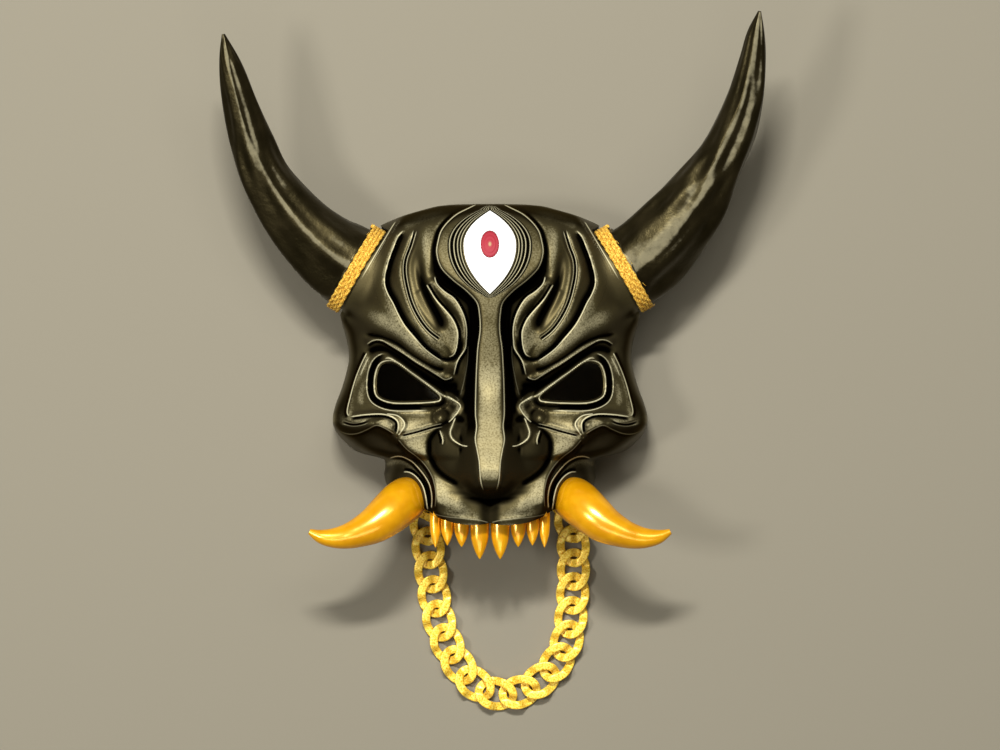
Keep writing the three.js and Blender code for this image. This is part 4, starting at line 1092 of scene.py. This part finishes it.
def make_face():
    """The hollow face, with its eye holes, its flat chin and back, its collars and the third eye's pocket."""
    shell = body("shell_painted", face_block(SHELL_COLUMNS, SHELL_ROWS))
    walls = [body("wall", on_side(side, collar_block(COLLAR_BACK - WALL, COLLAR_BACK, COLLAR_WALL_HALF)))
             for side in ("right", "left")]
    combine(walls[0], [("UNION", walls[1]), ("INTERSECT", body("outer", face_block(120, 110)))])
    chin = block(-150, 150, -200, 0, -80, 120)
    bmesh.ops.rotate(chin, matrix=Matrix.Rotation(math.atan(1 / CHIN_SLOPE), 3, "X"), verts=chin.verts)
    bmesh.ops.translate(chin, vec=(0, CHIN_CUT_Y, 0), verts=chin.verts)
    steps = [("DIFFERENCE", body("cavity", cavity_block(84, 70, WALL))), ("UNION", walls[0])]
    for side in ("right", "left"):
        cut = collar_block(COLLAR_BACK, 60, COLLAR_CUT_HALF)
        steps.append(("DIFFERENCE", body("cut", on_side(side, cut))))
    for side in ("right", "left"):
        steps.append(("UNION", body("stub", on_side(side, collar_stub()))))
    for side in ("left", "right"):
        eye = prism(spline(EYE_HOLE, 6, True)[:-1], -10, 130)
        steps.append(("DIFFERENCE", body("eye", on_side(side, eye))))
    steps += [
        ("DIFFERENCE", body("chin", chin)),
        ("DIFFERENCE", body("under", block(-200, 200, -200, 250, -40, 0))),
        ("DIFFERENCE", body("pocket", almond_lens(24, 40, FIT_GAP, 8, EYE_SUNK + FIT_GAP))),
    ]
    combine(shell, steps)
    first_ring = len(shell.data.vertices)
    carved = bmesh.new()
    carved.from_mesh(shell.data)
    whole = merged(carved, ring_patch(52, 90), on_side("left", ring_patch(52, 90)))
    whole.to_mesh(shell.data)
    whole.free()
    paint_marks(shell, first_ring)
    place(shell, "mask_shell", satin_black(), 48)


def make_third_eye():
    """The white almond and the red pupil let into it."""
    almond = body("third_eye_painted_white", almond_lens(48, 96, 0, 0, EYE_SUNK))
    pocket = pupil_lens(20, 24, FIT_GAP, lambda x, y, q: almond_top(y) + 6, PUPIL_SUNK + FIT_GAP)
    combine(almond, [("DIFFERENCE", body("pocket", pocket))])
    place(almond, "third_eye_white", matt_white(), 40)
    pupil = body("third_eye_painted_red", pupil_lens(36, 48, 0, pupil_top, PUPIL_SUNK))
    place(pupil, "third_eye_pupil", matt_red(), 40)


make_face()
make_third_eye()


# Sweeps along a path
def path_frames(rows, count, side):
    """Points along a smooth path through rows, with its sizes, and two directions across it."""
    at = spline(rows, max(2, count // (len(rows) - 1)))
    way = np.gradient(at[:, :3], axis=0)
    way /= np.linalg.norm(way, axis=1)[:, None]
    across = np.empty_like(way)
    held = np.array(side, float)
    for k, w in enumerate(way):
        held = held - held @ w * w
        held = held / np.linalg.norm(held)
        across[k] = held
    return at, across, np.cross(way, across)


def swept(rows, side, columns, count, size_at=None, depth=1.0):
    """A tube along a path: rows hold x, y, z and radius, and size_at shapes a section that isn't round."""
    at, across, deep = path_frames(rows, count, side)
    n = len(at) - 1

    def points(u, v):
        k = np.clip(np.round(v * n).astype(int), 0, n)
        turn = 2 * np.pi * u
        size = at[k, 3] * (size_at(turn, v) if size_at else 1)
        return (at[k, :3] + (size * np.cos(turn))[:, None] * across[k]
                + (depth * size * np.sin(turn))[:, None] * deep[k])
    return tube(columns, n, points)


# Horns: points along the axis of each, with the radius there, modelled on the right
LEFT_HORN = [(90, 82.5, 41, 20.9), (103, 95, 43.5, 18.2), (114.5, 109.2, 47, 15.8), (123.8, 124.5, 51, 13.5),
             (130.2, 140.8, 55, 11.8), (135.5, 159, 60, 9.8), (139.9, 175.5, 64.5, 7.6),
             (143.3, 189, 68, 4.6), (145.4, 199.6, 70.5, 0.9)]
RIGHT_HORN = [(91, 85.5, 41, 22), (105, 100.5, 43.5, 19.8), (118, 118, 47.5, 16.4), (127, 133.3, 51.5, 13.3),
              (134.6, 149.3, 56, 12.1), (140.4, 167, 61, 9.9), (143.6, 185.7, 66, 7.4), (145.3, 200, 69.5, 5),
              (147, 212, 72.5, 0.9)]


def horn(rows, seed):
    """A horn with soft furrows and facets that wander along it."""
    def size_at(turn, v):
        away_from_foot = np.minimum(1, 6 * v)
        wander = 0.5 * np.sin(5 * v + seed) + 0.3 * np.sin(11 * v + 2 * seed)
        broad = 0.03 * np.cos(3 * turn + 2.4 + 3 * v)
        facet = 0.03 - 0.085 * np.abs(np.sin(2.5 * turn + 0.9 * wander + 2.36))
        furrow = 0.022 * np.cos(7 * turn + 4 * wander) + 0.012 * np.cos(11 * turn - 5 * wander + seed)
        lumps = 0.022 * np.sin(24 * v + 3 * np.sin(2 * turn + seed)) * np.sin(turn + 5 * v + seed)
        return 1 + away_from_foot * (broad + facet + furrow + lumps)
    foot = COLLAR_AT + (COLLAR_CUT + FIT_GAP) * OUTWARD
    path = [(*foot, COLLAR_RADIUS), (*(COLLAR_AT + 11 * OUTWARD), COLLAR_RADIUS), *rows]
    return swept(path, ACROSS, 96, 240, size_at, 0.87)


def paint_upward_highlight(piece, seed):
    """Marks where a horn faces up, less in patches near its foot, for the painted highlight there."""
    x, y = points_of(piece).T[:2]
    normals = np.empty(3 * len(x))
    piece.data.vertex_normals.foreach_get("vector", normals)
    up = normals.reshape(-1, 3)[:, 2]
    patches = 0.9 * bump(np.hypot((np.abs(x) + y - 200) / 22, (np.abs(x) - y + 4) / 5), 1)
    mark(piece, "painted_sheen", smoothstep(0.93, 0.998, up) * (1 - patches * (1 + 0.3 * np.sin(0.4 * x + seed))))


horn_paint = horn_black()
for side, rows, wander_seed, patch_seed in (("left", LEFT_HORN, 1.3, 1), ("right", RIGHT_HORN, 4.1, 3)):
    piece = body(f"horn_{side}_painted", on_side(side, horn(rows, wander_seed)))
    paint_upward_highlight(piece, patch_seed)
    place(piece, f"horn_{side}", horn_paint)

# Tusks
TUSK = [(45.5, -54, 40, 11.6), (46.5, -54.6, 49, 12.1), (49.5, -57, 57, 12.3), (55.5, -62.2, 63, 11.6),
        (63, -68, 66.5, 10.2), (72.5, -72.5, 68.5, 8), (80, -74.6, 69, 6.5), (86.5, -75.1, 69.5, 5.2),
        (92.5, -74.2, 70, 3.8), (98.5, -71.6, 70.5, 1.5)]

gold = satin_gold()
for side in ("left", "right"):
    tusk = on_side(side, swept(TUSK, (-0.47, -0.88, 0), 64, 120))
    place(body(f"tusk_{side}_gilt", tusk), f"tusk_{side}", gold)

# Teeth: a row of fangs on one bar behind the lip, each with its place across, its tip and its half width
TEETH = [(5.6, -86.9, 5.2), (15.5, -80.3, 4.3), (23.3, -79.5, 3.7), (29.9, -80.7, 3.1)]
TEETH_ROOT = -61.0
LIP_INSIDE = 62.0
FANG_PROFILE = ((0, 0.92), (0.3, 1), (0.6, 0.88), (0.83, 0.52), (0.945, 0.22), (1, 0.05))


def fang(x, tip, half):
    """One tooth, curved a little forwards, with its root inside the bar."""
    z = LIP_INSIDE - 4.3 - 0.006 * x * x
    rows = [(x, TEETH_ROOT - t * (TEETH_ROOT - tip), z + 1.4 * t * t, w * half) for t, w in FANG_PROFILE]
    return swept(rows, (1, 0, 0), 28, 40, depth=0.8)


teeth = [fang(sign * x, tip, half) for x, tip, half in TEETH for sign in (1, -1)]
bar = block(-31, 31, -63.5, -57.5, LIP_INSIDE - 7.5, LIP_INSIDE - 1)
place(body("teeth_gilt", *teeth, bar), "upper_teeth", gold)

# Chain: the centres of its links, from the left lug down to the ground and back up to the right lug
LINK_ACROSS = 7.0
LINK_ALONG = 9.65
LINK_BAND = 4.6
LINK_THICK = 2.0
LINK_LEAN = 2.0
LINK_TURN = 9.0
LINK_SQUARE = 0.4  # how square the band's section is, 1 being round
LUG = np.array([34, -42.8, 48.4])
LINKS = [(-34, -42.8, 39), (-34.2, -42.9, 25.6), (-34.6, -46, 12.9), (-35.1, -55.8, 7.4),
         (-35.6, -69.2, 4.5), (-34.4, -82.3, 3.5), (-32.9, -95.8, 3.25), (-31, -109.3, 3.15),
         (-28.3, -122.8, 3.15), (-23.8, -135.7, 3.15), (-17.4, -147.6, 3.15), (-8.5, -157.8, 3.15),
         (3.3, -163.4, 3.15), (16.4, -162.4, 3.15), (28, -155.9, 3.15), (37.1, -145.9, 3.15),
         (42.6, -133.9, 3.15), (44.9, -120.9, 3.15), (45.9, -107.6, 3.15), (46.3, -94.4, 3.25),
         (46.2, -81.2, 3.55), (44.8, -68, 4.45), (41, -55.4, 7), (36.75, -46.5, 12.85), (34.3, -42.9, 25.6),
         (34, -42.8, 39)]


def squared(wave):
    """A sine or cosine drawn out towards a square wave."""
    return 0.5 * np.sign(wave) * np.abs(wave) ** LINK_SQUARE


def link(i):
    """A flat curb link, twisted so that it lies over one neighbour and under the other."""
    last = len(LINKS) - 1
    at = np.array(LINKS[i])
    before = np.array(LINKS[i - 1]) if i else LUG * (-1, 1, 1) + (0, 0, 3)
    after = np.array(LINKS[i + 1]) if i < last else LUG + (0, 0, 3)
    way = (after - before) / np.linalg.norm(after - before)
    across = np.array([-way[1], way[0], 0])
    from_end = min(i, last - i)
    if from_end < 4:
        across = np.array([1.0 if i < 4 else -1.0, 0, 0])
    across -= across @ way * way
    across /= np.linalg.norm(across)
    if from_end in (0, 2):
        across = np.cross(way, across)
    up = np.cross(across, way)
    lean = LINK_LEAN if from_end > 2 else 0

    def points(u, v):
        turn, round_band = 2 * np.pi * u, 2 * np.pi * v
        nx, ny = np.cos(turn) / LINK_ACROSS, np.sin(turn) / LINK_ALONG
        size = np.hypot(nx, ny)
        a, b = squared(np.cos(round_band)), squared(np.sin(round_band))
        x = LINK_ACROSS * np.cos(turn) + a * LINK_BAND * nx / size
        y = LINK_ALONG * np.sin(turn) + a * LINK_BAND * ny / size
        z = b * LINK_THICK - lean * np.tanh(x * y / LINK_TURN)
        return at + x[:, None] * across + y[:, None] * way + z[:, None] * up
    return tube(48, 16, points, False)


chain_metal = washed_gold()
for number in range(len(LINKS)):
    name = f"chain_link_{number + 1:02d}"
    place(body(name + "_gilt", link(number)), name, chain_metal)

# Twine: one strand laid round each collar in four turns
STRAND = 2.4
TURNS = 4
TWIST_MM = 9.5  # length of one turn of the plies
LAID_CLEAR = 0.75  # how far the strand lies off the collar
FIBRES = 60
FIBRE_RADIUS = 0.13


def twine():
    """Two plies twisted together, laid as a helix round the collar."""
    girth = 2 * math.pi * (COLLAR_RADIUS + COLLAR_DEPTH) / 2

    def points(u, v):
        turn, around_collar = 2 * np.pi * u, 2 * np.pi * TURNS * v
        ply = 2 * np.pi * v * TURNS * girth / TWIST_MM
        r = STRAND / 2 * (0.81 + 0.17 * np.cos(2 * (turn - ply)))
        grow = LAID_CLEAR + STRAND / 2 + r * np.cos(turn)
        s = -0.3 + STRAND / 2 + STRAND * (TURNS - 1) * v + r * np.sin(turn)
        return (COLLAR_AT + s[:, None] * OUTWARD
                + ((COLLAR_RADIUS + grow) * np.cos(around_collar))[:, None] * ACROSS
                + ((COLLAR_DEPTH + grow) * np.sin(around_collar))[:, None] * UP)
    return tube(12, 1100, points)


def fibres(seed):
    """Loose fibres that stand off the twine."""
    draw = np.random.default_rng(seed)
    made = []
    for _ in range(FIBRES):
        turn = draw.uniform(0, 2 * math.pi)
        s = draw.uniform(0.2, STRAND * TURNS - 0.6)
        ring = math.cos(turn) * ACROSS + math.sin(turn) * UP
        along = -math.sin(turn) * ACROSS + math.cos(turn) * UP
        grow = STRAND + 0.3
        foot = (COLLAR_AT + s * OUTWARD + (COLLAR_RADIUS + grow) * math.cos(turn) * ACROSS
                + (COLLAR_DEPTH + grow) * math.sin(turn) * UP)
        lift, lean, slip = draw.uniform(0.5, 1.7), draw.uniform(-3.5, 3.5), draw.uniform(-1.0, 1.0)
        rows = []
        for t in (0, 0.35, 0.7, 1):
            at = foot + t * lean * along + (t * lift - 0.3) * ring + t * t * slip * OUTWARD
            rows.append((*at, FIBRE_RADIUS * (1 - 0.6 * t)))
        made.append(swept(rows, tuple(OUTWARD), 5, 9))
    return made


strand = jute()
for side, seed in (("left", 3), ("right", 8)):
    parts = [on_side(side, bm) for bm in (twine(), *fibres(seed))]
    place(body(f"twine_{side}_jute", *parts), f"twine_{side}", strand)

# Stage: the floor, the camera straight above, soft lights in metres, and a dim warm room
FLOOR_HALF = 4000
IMAGE_WIDTH_MM = 550.0
SENSOR_MM = 36.0
CAMERA_AIM = np.array([5.5, 13.75, 40.0])
CAMERA_AWAY = 3500.0
LIGHT_AIM = Vector((0, 0, 0.05))
ROOM_LIGHT = 0.13

bm = bmesh.new()
bmesh.ops.create_grid(bm, x_segments=1, y_segments=1, size=FLOOR_HALF)
floor = body("floor", bm)
floor.data.transform(Matrix.Scale(MM, 4))
plain, tree, _ = material("plain_floor")
finish_material(tree, {"Base Color": colour("#797363"), "Roughness": 0.9})
floor.data.materials.append(plain)

camera = bpy.data.objects.new("camera", bpy.data.cameras.new("camera"))
camera.data.lens = SENSOR_MM * CAMERA_AWAY / IMAGE_WIDTH_MM
camera.location = Vector((CAMERA_AIM + SHIFT + CAMERA_AWAY * UP) * MM)
bpy.context.scene.collection.objects.link(camera)
bpy.context.scene.camera = camera


def softbox(name, at, width, depth, power):
    """A soft rectangular light that faces the mask."""
    lamp = bpy.data.lights.new(name, "AREA")
    lamp.shape = "RECTANGLE"
    lamp.size, lamp.size_y = width, depth
    lamp.energy = power
    holder = bpy.data.objects.new(name, lamp)
    holder.location = at
    holder.rotation_euler = (LIGHT_AIM - Vector(at)).to_track_quat("-Z", "Y").to_euler()
    bpy.context.scene.collection.objects.link(holder)


softbox("key", (-0.15, 1.02, 1.85), 0.5, 0.12, 56)
softbox("overhead_top", (0.1, 0.85, 1.8), 1.6, 0.5, 14)
softbox("overhead_low", (-0.1, -0.8, 1.85), 1.5, 0.4, 7)
softbox("side", (-1.0, -0.05, 1.6), 0.3, 0.3, 16)
world = bpy.data.worlds.new("studio")
bpy.context.scene.world = world
world.use_nodes = True
room = world.node_tree.nodes["Background"].inputs
room["Color"].default_value = colour("#e6dfc6")
room["Strength"].default_value = ROOM_LIGHT
bpy.context.scene.view_settings.view_transform = "Standard"
